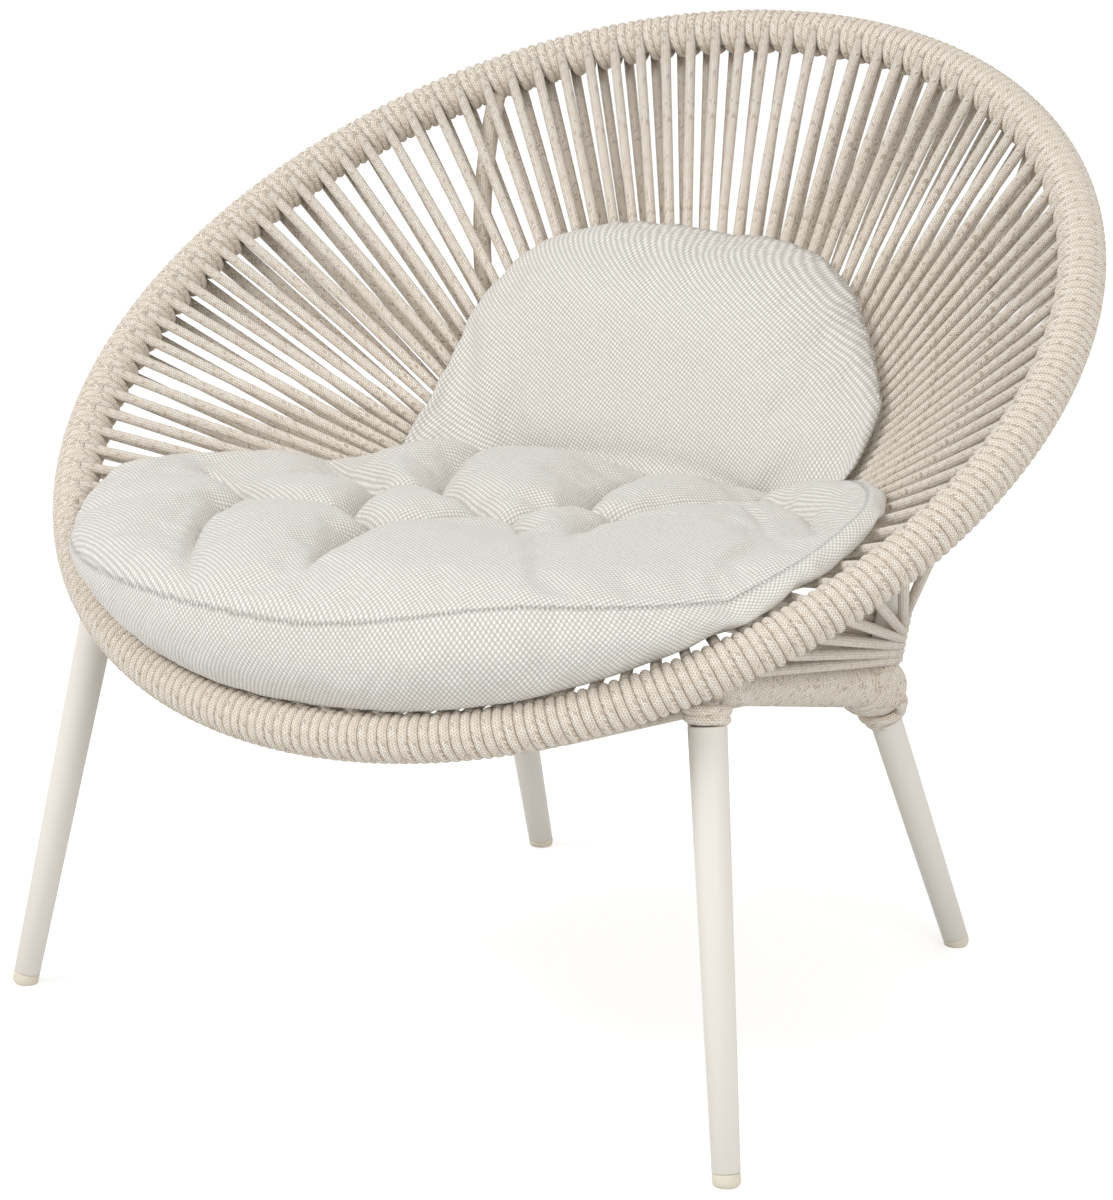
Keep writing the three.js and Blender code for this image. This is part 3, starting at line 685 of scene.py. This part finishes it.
def add_struts():
    steps, sides = 24, 20
    for word, side in SIDES:
        path = [strut_point(side, STRUT_START + STRUT_LENGTH * i / steps) for i in range(steps + 1)]
        piece = sweep(f"strut_sleeve_{word}", [path], STRUT_RADIUS, sides, STRUT_SLEEVE)
        declare(piece, "cord", f"strut_{word}")


def add_arch():
    steps, sides = 12, 32
    half = [arch_point(REAR_SPREAD, 0)]
    for i in range(steps + 1):
        turn = TURN / 4 * i / steps
        x = REAR_SPREAD - ARCH_BEND * (1 - math.cos(turn))
        half.append(arch_point(x, ARCH_RISE - ARCH_BEND * (1 - math.sin(turn))))
    path = half + [Vector((-p.x, p.y, p.z)) for p in reversed(half)]
    declare(sweep("bent_arch", [path], TUBE_RADIUS, sides, FRAME_PAINT), "frame_paint", "rear_arch")


# Legs

def legs():
    """Each leg's name, its joint on the rail and its foot."""
    for word, side in SIDES:
        front, rear = rail_front(side), rail_rear(side)
        joint = front + (rear - front).normalized() * FRONT_LEG_INSET
        yield f"front_leg_{word}", joint, Vector((side * FRONT_FOOT[0], FRONT_FOOT[1], 0))
        yield f"rear_leg_{word}", rear, Vector((side * REAR_FOOT[0], REAR_FOOT[1], 0))


def turned(name, joint, foot, profile, finish, sides=48):
    """A turned piece from (distance down the leg, radius) pairs, cut flat where it meets the floor."""
    along, across, up = axis_frame(joint, foot)
    work = bmesh.new()
    rings = []
    turns = [TURN * i / sides for i in range(sides)]
    circle = [across * math.cos(turn) + up * math.sin(turn) for turn in turns]
    for down, radius in profile:
        centre = joint + along * down
        reaches = circle if radius else [Vector()]
        rings.append([work.verts.new(centre + reach * radius) for reach in reaches])
    for here, there in zip(rings, rings[1:]):
        for i in range(sides):
            j = (i + 1) % sides
            corners = [ring[k % len(ring)] for ring, k in ((here, i), (here, j), (there, j), (there, i))]
            work.faces.new(list(dict.fromkeys(corners)))
    for vertex in work.verts:
        vertex.co.z = max(vertex.co.z, 0)
    bmesh.ops.recalc_face_normals(work, faces=work.faces)
    for face in work.faces:
        face.smooth = True
    mesh = bpy.data.meshes.new(name)
    work.to_mesh(mesh)
    work.free()
    mesh.materials.append(finish)
    return link_piece(name, mesh)


def add_legs():
    for name, joint, foot in legs():
        length = (foot - joint).length
        bottom = length - FOOT_CAP_HEIGHT

        def radius_at(down):
            return FOOT_RADIUS + LEG_TAPER * (length - down)

        edge = LEG_EDGE
        top, low = LEG_DROP, bottom - FOOT_CAP_GAP
        profile = [
            (top, 0), (top, radius_at(top) - edge), (top + edge, radius_at(top)),
            ((top + low) / 2, radius_at((top + low) / 2)),
            (low - edge, radius_at(low)), (low, radius_at(low) - edge), (low, 0),
        ]
        declare(turned(f"{name}_tube", joint, foot, profile, LEG_PAINT), "leg_paint", name)

        cap = radius_at(bottom)
        steps = 8
        dome = [
            (length - cap * 0.35 + cap * 0.5 * math.sin(TURN / 4 * i / steps),
             cap * (0.55 + 0.45 * math.cos(TURN / 4 * i / steps)))
            for i in range(steps + 1)
        ]
        profile = [(bottom, 0), (bottom, cap - edge / 2), (bottom + edge / 2, cap),
                   *dome, (length + cap * 0.15, 0)]
        piece = turned(f"{name}_foot", joint, foot, profile, FOOT_PLASTIC)
        declare(piece, "foot_plastic", f"{name}_foot_cap")


def add_collars():
    for name, joint, foot in legs():
        along = (foot - joint).normalized()
        start, end = (joint + along * down for down in COLLAR_SPAN)
        flare = COLLAR_FLARE[name.split("_")[0]]
        paths = [coil(start, end, lambda share: COLLAR_REACH + flare * (1 - share), COLLAR_PITCH)]
        declare(sweep(f"{name}_turns", paths), "cord", f"{name}_cord_collar")


# Height of the strands over a place on the floor, and the wall that they make behind the back cushion

BISECTIONS = 26
STRAND_ENDS = (-0.3, 1.3)


def hoop_at_share(x, y, share):
    """Whether a place lies inside the hoop that the strands make at a share of their way in."""
    wide = RIM_RADIUS + (RING_RADIUS - RIM_RADIUS) * share
    rim_deep, ring_deep = RIM_RADIUS * math.cos(RIM_TILT), RING_RADIUS * math.cos(RING_TILT)
    across = x / wide
    forward = (share * RING_SETBACK - y) / (rim_deep + (ring_deep - rim_deep) * share)
    return math.hypot(across, forward) < 1, math.atan2(across, forward)


def bowl_height(x, y):
    """The top of the strands over a place on the floor."""
    over_ring = RING_HEIGHT + (y - RING_SETBACK) * math.tan(RING_TILT)
    over_ring += WRAP_RADIUS / math.cos(RING_TILT)
    near, far = STRAND_ENDS
    if hoop_at_share(x, y, far)[0]:
        return over_ring
    for _ in range(BISECTIONS):
        middle = (near + far) / 2
        if hoop_at_share(x, y, middle)[0]:
            near = middle
        else:
            far = middle
    angle = hoop_at_share(x, y, near)[1]
    up = rim_section(angle)[1]
    over_strand = rim_point(angle).lerp(ring_point(angle), near).z + WRAP_RADIUS / up.z
    return max(over_ring, over_strand) if near > 1 else over_strand


def back_wall(x, z):
    """How far back the strands reach the given height."""
    near, far = 0.0, RIM_RADIUS
    for _ in range(BISECTIONS):
        middle = (near + far) / 2
        if bowl_height(x, middle) > z:
            far = middle
        else:
            near = middle
    return near


def clear_of_hoop(place, gap):
    """The place itself, or the nearest one outside the wound hoop."""
    across, forward = Vector((1, 0, 0)), Vector((0, -math.cos(RIM_TILT), -math.sin(RIM_TILT)))
    centre = Vector((0, 0, RIM_HEIGHT))
    rel = place - centre
    flat = across * rel.dot(across) + forward * rel.dot(forward)
    on_line = centre + flat.normalized() * RIM_RADIUS
    off = place - on_line
    least = WRAP_RADIUS + gap
    return on_line + off.normalized() * least if off.length < least else place


# Cushions. Each starts as flat patterns that are laid out in full size, with points on the sewn lines,
# is bent to its place, and then swells under pressure with its sewn lines held.

CLOTH_STEP = 6 * MM
LEAST_STEP = 0.6
SAME_PLACE = 0.1 * MM
WELL_INSIDE = 0.985
REST_GAP = 1 * MM
SWELL_FRAMES = 20
SWELL_SLACK = 0.03
SWELL_CAP = 9 * MM


def fullness(share):
    """How full a pad is at a share of the way from its middle to its edge."""
    return math.sqrt(max(0.0, 1 - share ** 4))


class Outline:
    """A closed outline round a middle, with its reach in every direction."""

    def __init__(self, middle, points):
        self.middle = Vector(middle)
        self.points = points
        ends = points[1:] + points[:1]
        self.runs = [0.0]
        for here, there in zip(points, ends):
            self.runs.append(self.runs[-1] + (there - here).length)
        by_turn = sorted((math.atan2(*(point - self.middle).yx), i) for i, point in enumerate(points))
        self.turns = [turn for turn, _ in by_turn]
        self.order = [i for _, i in by_turn]

    def at(self, place):
        """The share of the way out to the edge, the way round the edge and the point of the edge."""
        way = Vector(place) - self.middle
        turn = math.atan2(way.y, way.x)
        slot = bisect_right(self.turns, turn) % len(self.turns)
        i, j = self.order[slot - 1], self.order[slot]
        here, there = self.points[i] - self.middle, self.points[j] - self.middle
        span = here.x * there.y - here.y * there.x
        gap = way.x * (there.y - here.y) - way.y * (there.x - here.x)
        share = gap / span
        part = (here.x * way.y - here.y * way.x) / gap if gap else 0.0
        onward = 1 if j in (i + 1, 0) else -1
        run = self.runs[i] + (there - here).length * onward * part
        return share, run, self.middle + here.lerp(there, part)


def smooth_loop(corners, spacing):
    """A closed smooth curve through the corners, with points at about the given spacing."""
    fine = []
    steps = 24
    for i in range(len(corners)):
        a, b, c, d = (corners[(i + k) % len(corners)] for k in (-1, 0, 1, 2))
        for k in range(steps):
            t = k / steps
            fine.append((b * 2 + (c - a) * t + (a * 2 - b * 5 + c * 4 - d) * t ** 2
                         + (b * 3 - a - c * 3 + d) * t ** 3) / 2)
    return even_loop(fine, spacing)


def even_loop(fine, spacing):
    """The same closed curve with points at even steps of about the given spacing."""
    runs = [0.0]
    for here, there in zip(fine, fine[1:] + fine[:1]):
        runs.append(runs[-1] + (there - here).length)
    count = round(runs[-1] / spacing)
    points = []
    for i in range(count):
        goal = runs[-1] * i / count
        k = bisect_right(runs, goal) - 1
        part = (goal - runs[k]) / (runs[k + 1] - runs[k])
        points.append(fine[k].lerp(fine[(k + 1) % len(fine)], part))
    return points


def walk(line, spacing):
    """Points along a line of corners at about the given spacing."""
    points = []
    for here, there in zip(line, line[1:]):
        count = max(1, round((there - here).length / spacing))
        points += [here.lerp(there, i / count) for i in range(count)]
    return points + [line[-1]]


def flat_pattern(outline, spacing, turn, lines=()):
    """Points and triangles over the inside of an outline, on a grid turned as the cloth is.

    Returns them with the numbers of the outline's own points.
    """
    places = [point.copy() for point in outline.points]
    edges = [(i, (i + 1) % len(places)) for i in range(len(places))]
    for line in lines:
        first = len(places)
        places += line
        edges += [(first + i, first + i + 1) for i in range(len(line) - 1)]
    fixed = numpy.array([tuple(place) for place in places])
    reach = max((point - outline.middle).length for point in outline.points)
    steps = math.ceil(reach / spacing)
    along = Vector((math.cos(turn), math.sin(turn)))
    for i in range(-steps, steps + 1):
        for j in range(-steps, steps + 1):
            place = outline.middle + (along * i + along.orthogonal() * j) * spacing
            inside = place == outline.middle or outline.at(place)[0] < 1
            if inside and numpy.hypot(*(fixed - tuple(place)).T).min() > LEAST_STEP * spacing:
                places.append(place)
    points, _, faces, origins, _, _ = delaunay_2d_cdt(places, edges, [], 1, 1e-7)
    rim = [0] * len(outline.points)
    for number, sources in enumerate(origins):
        for source in sources:
            if source < len(rim):
                rim[source] = number
    return points, faces, rim


class Pad:
    """The points and faces of a cushion, gathered skin by skin."""

    def __init__(self):
        self.points, self.faces, self.cloth, self.sewn, self.run = [], [], [], [], []

    def add_point(self, place, sewn, run):
        self.points.append(place)
        self.sewn.append(sewn)
        self.run.append(run)
        return len(self.points) - 1

    def add_face(self, corners, cloth):
        self.faces.append(corners)
        self.cloth += cloth

    def add_skin(self, pattern, outline, ring, place_at, turn, shift=0.0):
        """Adds a flat pattern bent by place_at, sewn to the ring of points that is there already."""
        points, faces, rim = pattern
        numbers = {number: ring[i] for i, number in enumerate(rim)}
        along = Vector((math.cos(turn), math.sin(turn)))
        side = Vector((-along.y, along.x))
        for number, point in enumerate(points):
            if number not in numbers:
                share, run, edge = outline.at(point)
                place = place_at(point, share, edge)
                numbers[number] = self.add_point(place, (edge - point).length, run)
        for face in faces:
            cloth = [(points[i].dot(along) + shift, points[i].dot(side)) for i in face]
            self.add_face([numbers[i] for i in face], cloth)
        return [numbers[i] for i in range(len(points))]

    def piece(self, name, finish):
        mesh = bpy.data.meshes.new(name)
        mesh.from_pydata(self.points, [], self.faces)
        layer = mesh.uv_layers.new(name="UVMap")
        layer.data.foreach_set("uv", [value for pair in self.cloth for value in pair])
        mesh.attributes.new("sewn", "FLOAT", "POINT").data.foreach_set("value", self.sewn)
        mesh.attributes.new("run", "FLOAT", "POINT").data.foreach_set("value", self.run)
        mesh.materials.append(finish)
        work = bmesh.new()
        work.from_mesh(mesh)
        bmesh.ops.recalc_face_normals(work, faces=work.faces)
        bmesh.ops.join_triangles(work, faces=work.faces, cmp_uvs=True, angle_face_threshold=0.7,
                                 angle_shape_threshold=0.6)
        work.to_mesh(mesh)
        work.free()
        return link_piece(name, mesh)


def swell(piece, held, pressure):
    """Lets the cloth swell under pressure from inside while the held points stay, up to a cap."""
    start = [vertex.co.copy() for vertex in piece.data.vertices]
    piece.vertex_groups.new(name="held").add(held, 1.0, "REPLACE")
    cloth = piece.modifiers.new("cloth", "CLOTH")
    cloth.settings.quality = 6
    cloth.settings.use_pressure = True
    cloth.settings.uniform_pressure_force = pressure
    cloth.settings.vertex_group_mass = "held"
    cloth.settings.shrink_min = -SWELL_SLACK
    cloth.settings.effector_weights.gravity = 0
    cloth.point_cache.frame_start, cloth.point_cache.frame_end = 1, SWELL_FRAMES
    for number in range(1, SWELL_FRAMES + 1):
        scene.frame_set(number)
    swollen = [vertex.co.copy() for vertex in as_modified(piece).data.vertices]
    piece.modifiers.remove(cloth)
    piece.vertex_groups.clear()
    scene.frame_set(1)
    for vertex, before, after in zip(piece.data.vertices, start, swollen):
        way = after - before
        vertex.co = before + way * min(1.0, SWELL_CAP / max(way.length, SWELL_CAP / 100))


def finer(piece):
    """Divides every face once and rounds the cloth over."""
    round_off = piece.modifiers.new("rounded", "SUBSURF")
    round_off.levels = round_off.render_levels = 1
    apply_modifier(piece, round_off)
    piece.data.polygons.foreach_set("use_smooth", [True] * len(piece.data.polygons))


# Seat cushion: its outline on the floor plan, its seams and the channels between its puffs

SEAT_MIDDLE = (6 * MM, -128 * MM)
SEAT_REACH = (318 * MM, 236 * MM)
SEAT_TURN = math.radians(8)
SEAT_TAPERS = (0.37, 0.2)
SEAT_POWER = 2.1
SEAT_CLOTH_TURN = math.radians(17)
SEAT_SEAM = 378 * MM
SEAT_CREST = 418 * MM
SEAT_LEAST = 36 * MM
BAND_SHARE = 0.91
BAND_BULGE = 9 * MM
BAND_MORE = 10 * MM
BAND_SPREAD = 0.06
RIGHT_START = 15 * MM
RIGHT_SPAN = 190 * MM
SEAM_RISE = 30 * MM
SEAM_STAND = 15 * MM
SEAM_LEAST = 7 * MM
BAND_ROWS = 9
CHANNEL_WIDTH = 42 * MM
CHANNEL_DRAW = 1.2
# Corners of each channel as x, y and depth, in millimetres
CHANNELS = [
    [(-162, -177, 26), (-197, -154, 20), (-246, -134, 14)],
    [(-99, -100, 26), (-131, -78, 24), (-168, -55, 24), (-215, -25, 22)],
    [(-67, -80, 26), (-91, -35, 24), (-104, 0, 22), (-110, 60, 20), (-112, 110, 16)],
    [(58, -66, 26), (38, -7, 24), (30, 50, 22), (26, 112, 18)],
    [(145, 24, 26), (146, 48, 24), (152, 100, 18)],
    [(-162, -177, 26), (-171, -201, 24), (-153, -252, 22), (-114, -307, 18), (-76, -352, 10)],
    [(-23, -196, 26), (-26, -226, 24), (-17, -270, 18), (0, -310, 8), (12, -330, 0)],
    [(-162, -177, 26), (-122, -183, 24), (-82, -170, 26), (-92, -136, 24), (-99, -100, 26)],
    [(-99, -100, 26), (-67, -80, 26)],
    [(-82, -170, 26), (-48, -186, 24), (-23, -196, 26)],
    [(-23, -196, 26), (4, -172, 24), (28, -123, 26)],
    [(-67, -80, 26), (-22, -98, 24), (28, -123, 26)],
    [(28, -123, 26), (46, -94, 24), (58, -66, 26)],
    [(58, -66, 26), (81, -67, 24), (103, -58, 26)],
    [(103, -58, 26), (122, -18, 24), (145, 24, 26)],
    [(145, 24, 26), (186, 15, 24), (236, -21, 24), (285, -78, 26)],
    [(159, -1, 8), (217, -56, 7), (262, -110, 4)],
    [(194, 3, 7), (244, -46, 6), (276, -80, 4)],
    [(28, -123, 22), (69, -149, 12), (92, -190, 0)],
    [(103, -58, 22), (108, -120, 12), (122, -170, 0)],
]
CHANNEL_LINES = [[Vector(point) * MM for point in line] for line in CHANNELS]
FULL_DEPTH = 26 * MM
TUFT_DEPTH = 6 * MM
TUFT_WIDTH = 16 * MM
# Puffs that stand higher or lower than the rest: x, y, width and lift, in millimetres
PUFFS = [(-130, 38, 45, 24), (225, 22, 48, 12), (-205, -95, 70, -14), (-35, 40, 40, 3)]


def seat_outline():
    fine = []
    for i in range(720):
        turn = TURN * i / 720
        c, s = math.cos(turn), math.sin(turn)
        reach = (abs(c) ** SEAT_POWER + abs(s) ** SEAT_POWER) ** (-1 / SEAT_POWER)
        taper = 1 - SEAT_TAPERS[c > 0] * max(s, 0)
        place = Vector((SEAT_REACH[0] * reach * c * taper, SEAT_REACH[1] * reach * s))
        place.rotate(Matrix.Rotation(SEAT_TURN, 2))
        fine.append(place + Vector(SEAT_MIDDLE))
    return Outline(SEAT_MIDDLE, even_loop(fine, CLOTH_STEP))


def channel_dip(places):
    """How far the sewn channels draw the cloth down at each place, as a round crease."""
    starts = numpy.array([tuple(corner) for line in CHANNEL_LINES for corner in line[:-1]])
    ends = numpy.array([tuple(corner) for line in CHANNEL_LINES for corner in line[1:]])
    at = numpy.array([tuple(place) for place in places])[:, None, :]
    way = ends[:, :2] - starts[:, :2]
    part = ((at - starts[:, :2]) * way).sum(axis=2) / (way ** 2).sum(axis=1)
    part = part.clip(0, 1)
    nearest = starts[:, :2] + part[..., None] * way
    off = numpy.hypot(*(at - nearest).transpose(2, 0, 1))
    depth = starts[:, 2] + part * (ends[:, 2] - starts[:, 2])
    width = CHANNEL_WIDTH * (0.4 + 0.6 * depth / FULL_DEPTH)
    near = (1 - off / width).clip(0, 1)
    dip = CHANNEL_DRAW * (depth * (1 - numpy.sqrt(1 - near ** 2))).max(axis=1)
    line_ends = [corner for line in CHANNEL_LINES for corner in (line[0], line[-1])]
    tufts = numpy.array([tuple(corner.xy) for corner in line_ends if corner.z > FULL_DEPTH - MM])
    spread = numpy.hypot(*(at - tufts).transpose(2, 0, 1)).min(axis=1)
    return dip + TUFT_DEPTH * numpy.exp(-(spread / TUFT_WIDTH) ** 2)


def to_the_right(place):
    """From 0 at the middle of the seat to 1 at its right end."""
    share = min(1.0, max(0.0, (place.x - RIGHT_START) / RIGHT_SPAN))
    return share * share * (3 - 2 * share)


def seat_pad():
    upper = seat_outline()
    lower = Outline(SEAT_MIDDLE, [
        upper.middle + (point - upper.middle) * (BAND_SHARE + BAND_SPREAD * to_the_right(point))
        for point in upper.points
    ])
    sewn = [walk([corner.xy for corner in line], CLOTH_STEP) for line in CHANNEL_LINES]
    pattern = flat_pattern(upper, CLOTH_STEP, SEAT_CLOTH_TURN, inside_only(upper, sewn))
    dips = {tuple(point): dip for point, dip in zip(pattern[0], channel_dip(pattern[0]))}

    def seam_height(edge):
        lift = to_the_right(edge)
        over_bowl = bowl_height(*edge) + SEAM_LEAST + SEAM_STAND * lift
        return max(SEAT_SEAM + SEAM_RISE * lift, over_bowl)

    def top(place, share, edge):
        full = fullness(share)
        seam = seam_height(edge)
        dip = dips[tuple(place)] * full
        level = seam + (SEAT_CREST - seam) * full - dip
        for x, y, wide, lift in PUFFS:
            off = (place - Vector((x, y)) * MM).length / (wide * MM)
            level += lift * MM * math.exp(-off ** 2) * full
        if share > 0.5:
            least = max(SEAT_LEAST * full - 0.7 * dip, 6 * MM * full)
            level = max(level, bowl_height(*place) + REST_GAP + least)
        return Vector((*place, level))

    def bottom(place, *_):
        return Vector((*place, bowl_height(*place) + REST_GAP))

    pad = Pad()
    rings = []
    for row in range(BAND_ROWS + 1):
        share = row / BAND_ROWS
        ring = []
        for i, (low, high) in enumerate(zip(lower.points, upper.points)):
            bulge = BAND_BULGE + BAND_MORE * to_the_right(high)
            out = (high - upper.middle).normalized() * bulge * math.sin(math.pi * share)
            foot = bowl_height(*low) + REST_GAP
            tall = seam_height(high) - foot
            place = Vector((*(low.lerp(high, share) + out), foot + tall * share))
            place = clear_of_hoop(place, REST_GAP)
            ring.append(pad.add_point(place, (1 - share) * tall, upper.runs[i]))
        rings.append(ring)
    count = len(upper.points)
    for row, (low, high) in enumerate(zip(rings, rings[1:])):
        for i in range(count):
            j = (i + 1) % count
            left, right = upper.runs[i], upper.runs[i + 1]
            below, above = row * CLOTH_STEP, (row + 1) * CLOTH_STEP
            cloth = [(left, below), (right, below), (right, above), (left, above)]
            pad.add_face([low[i], low[j], high[j], high[i]], cloth)
    top_numbers = pad.add_skin(pattern, upper, rings[-1], top, SEAT_CLOTH_TURN)
    coarse = flat_pattern(lower, 2 * CLOTH_STEP, SEAT_CLOTH_TURN)
    low_numbers = pad.add_skin(coarse, lower, rings[0], bottom, SEAT_CLOTH_TURN)
    held = set(low_numbers) | set(rings[-1])
    for number, point in zip(top_numbers, pattern[0]):
        if any((point - other).length < SAME_PLACE for line in sewn for other in line):
            held.add(number)
    return pad, sorted(held)


def inside_only(outline, lines):
    """The parts of the lines that lie inside the outline."""
    kept = [[point for point in line if outline.at(point)[0] < WELL_INSIDE] for line in lines]
    return [line for line in kept if len(line) > 1]


def add_seat_cushion():
    pad, held = seat_pad()
    piece = pad.piece("tufted_seat_cushion", CLOTH)
    swell(piece, held, pressure=3.0)
    for vertex in piece.data.vertices:
        x, y, z = vertex.co
        vertex.co.z = max(z, bowl_height(x, y) + REST_GAP / 2)
        vertex.co = clear_of_hoop(vertex.co, REST_GAP / 2)
    finer(piece)
    return declare(piece, "cushion_fabric", "seat_cushion")


# Back cushion: its outline as it leans on the strands, seen square from the front

BACK_OUTLINE = [Vector(corner) * MM for corner in (
    (-190, 388), (-201, 412), (-205, 439), (-205, 470), (-202, 500), (-192, 523), (-178, 543),
    (-158, 555), (-127, 564), (-95, 568), (-59, 567), (-20, 566), (20, 566), (46, 563), (72, 558),
    (103, 545), (126, 531), (150, 509), (178, 487), (202, 467), (209, 440), (210, 415), (204, 390),
    (170, 376), (100, 371), (0, 370), (-100, 371), (-160, 377),
)]
BACK_MIDDLE = (0 * MM, 468 * MM)
BACK_CLOTH_TURN = math.radians(18)
BACK_SEAM_GAP = 9 * MM
BACK_FOOT = 104 * MM
BACK_FOOT_HEIGHT = 403 * MM
BACK_LEAN = math.tan(math.radians(24))
BACK_LEAST = 38 * MM
BACK_ROUND = 50 * MM
CUSHION_GAP = 0.8 * MM


def back_pad():
    outline = Outline(BACK_MIDDLE, smooth_loop(BACK_OUTLINE, CLOTH_STEP))

    def seam_at(place):
        return back_wall(*place) - BACK_SEAM_GAP

    def front(place, share, edge):
        seam = seam_at(place)
        plane = BACK_FOOT + (place.y - BACK_FOOT_HEIGHT) * BACK_LEAN
        full = fullness(share)
        deep = seam - plane
        thicker = (BACK_LEAST + deep + math.hypot(BACK_LEAST - deep, BACK_ROUND)) / 2
        return Vector((place.x, seam - full * (thicker - BACK_ROUND / 6), place.y))

    def rear(place, share, edge):
        deep = seam_at(place) + (BACK_SEAM_GAP - REST_GAP) * fullness(share)
        return Vector((place.x, deep, place.y))

    pad = Pad()
    ring = []
    for i, point in enumerate(outline.points):
        ring.append(pad.add_point(Vector((point.x, seam_at(point), point.y)), 0.0, outline.runs[i]))
    fine = flat_pattern(outline, CLOTH_STEP, BACK_CLOTH_TURN)
    pad.add_skin(fine, outline, ring, front, BACK_CLOTH_TURN)
    coarse = flat_pattern(outline, 2 * CLOTH_STEP, BACK_CLOTH_TURN)
    rear_numbers = pad.add_skin(coarse, outline, ring, rear, BACK_CLOTH_TURN, shift=1.0)
    return pad, sorted(set(rear_numbers) | set(ring))


def keep_off(piece, other, gap):
    """Presses a piece in where it would enter another one."""
    tree = BVHTree.FromObject(other, bpy.context.evaluated_depsgraph_get())
    for vertex in piece.data.vertices:
        place, normal, _, _ = tree.find_nearest(vertex.co)
        if (vertex.co - place).dot(normal) < gap:
            vertex.co = place + normal * gap


def add_back_cushion(seat):
    pad, held = back_pad()
    piece = pad.piece("plain_back_cushion", CLOTH)
    swell(piece, held, pressure=2.0)
    for vertex in piece.data.vertices:
        x, y, z = vertex.co
        vertex.co.y = min(y, back_wall(x, z) - REST_GAP / 2)
    finer(piece)
    keep_off(piece, seat, CUSHION_GAP)
    declare(piece, "cushion_fabric", "back_cushion")


# Frame pieces that keep their CAD mesh

def paint_hidden_frame():
    finishes = {"frame_paint": FRAME_PAINT, "zinc_steel": ZINC}
    for part in frame["record"]["subparts"]:
        if part["material_slot"] in finishes:
            mesh = frame["nodes"][part["node"]].data
            mesh.materials.clear()
            mesh.materials.append(finishes[part["material_slot"]])


# Floor, world and light

FLOOR_HALF = 12.0
FLOOR_LIFT = 0.5
WORLD_LIGHT = 0.7


def seen_directly(tree):
    """One for rays that show a surface to the camera or in a reflection, and nought for light."""
    rays = tree.nodes.new("ShaderNodeLightPath").outputs
    total = sum_node(tree, "MAXIMUM", rays["Is Camera Ray"], rays["Is Glossy Ray"])
    return sum_node(tree, "MAXIMUM", total, rays["Is Transmission Ray"])


def add_floor():
    mesh = bpy.data.meshes.new("floor")
    corners = [(x * FLOOR_HALF, y * FLOOR_HALF, 0) for x, y in ((-1, -1), (1, -1), (1, 1), (-1, 1))]
    mesh.from_pydata(corners, [], [(0, 1, 2, 3)])
    made = Finish("studio floor", Roughness=0.9, Base_Color=srgb(225, 225, 225),
                  Emission_Color=srgb(255, 255, 255))
    made.give(made.shader.inputs["Emission Strength"],
              made.sum("MULTIPLY", seen_directly(made.tree), FLOOR_LIFT))
    mesh.materials.append(made.material)
    floor = link_piece("floor", mesh)


def add_world():
    world = bpy.data.worlds.new("studio")
    world.use_nodes = True
    scene.world = world
    tree = world.node_tree
    background = tree.nodes["Background"]
    background.inputs["Color"].default_value = (1, 1, 1, 1)
    made = tree.nodes.new("ShaderNodeMapRange")
    tree.links.new(seen_directly(tree), made.inputs["Value"])
    made.inputs["To Min"].default_value = WORLD_LIGHT
    made.inputs["To Max"].default_value = 1.0
    tree.links.new(made.outputs["Result"], background.inputs["Strength"])


LAMP_AIM = Vector((0, 0, 0.4))
LAMPS = [("key", (-1.6, -2.6, 2.8), 1.6, 52), ("fill", (2.6, -1.4, 1.6), 2.0, 22)]


def add_lights():
    for name, place, size, power in LAMPS:
        data = bpy.data.lights.new(name, "AREA")
        data.shape = "DISK"
        data.size = size
        data.energy = power
        lamp = bpy.data.objects.new(name, data)
        lamp.location = place
        lamp.rotation_euler = (LAMP_AIM - Vector(place)).to_track_quat("-Z", "Y").to_euler()
        scene.collection.objects.link(lamp)


scene.view_settings.view_transform = "Standard"
add_camera()
add_hoop_cords()
add_strands()
add_rail_cords()
add_side_cords()
add_struts()
add_arch()
add_legs()
add_collars()
add_back_cushion(add_seat_cushion())
paint_hidden_frame()
add_floor()
add_world()
add_lights()
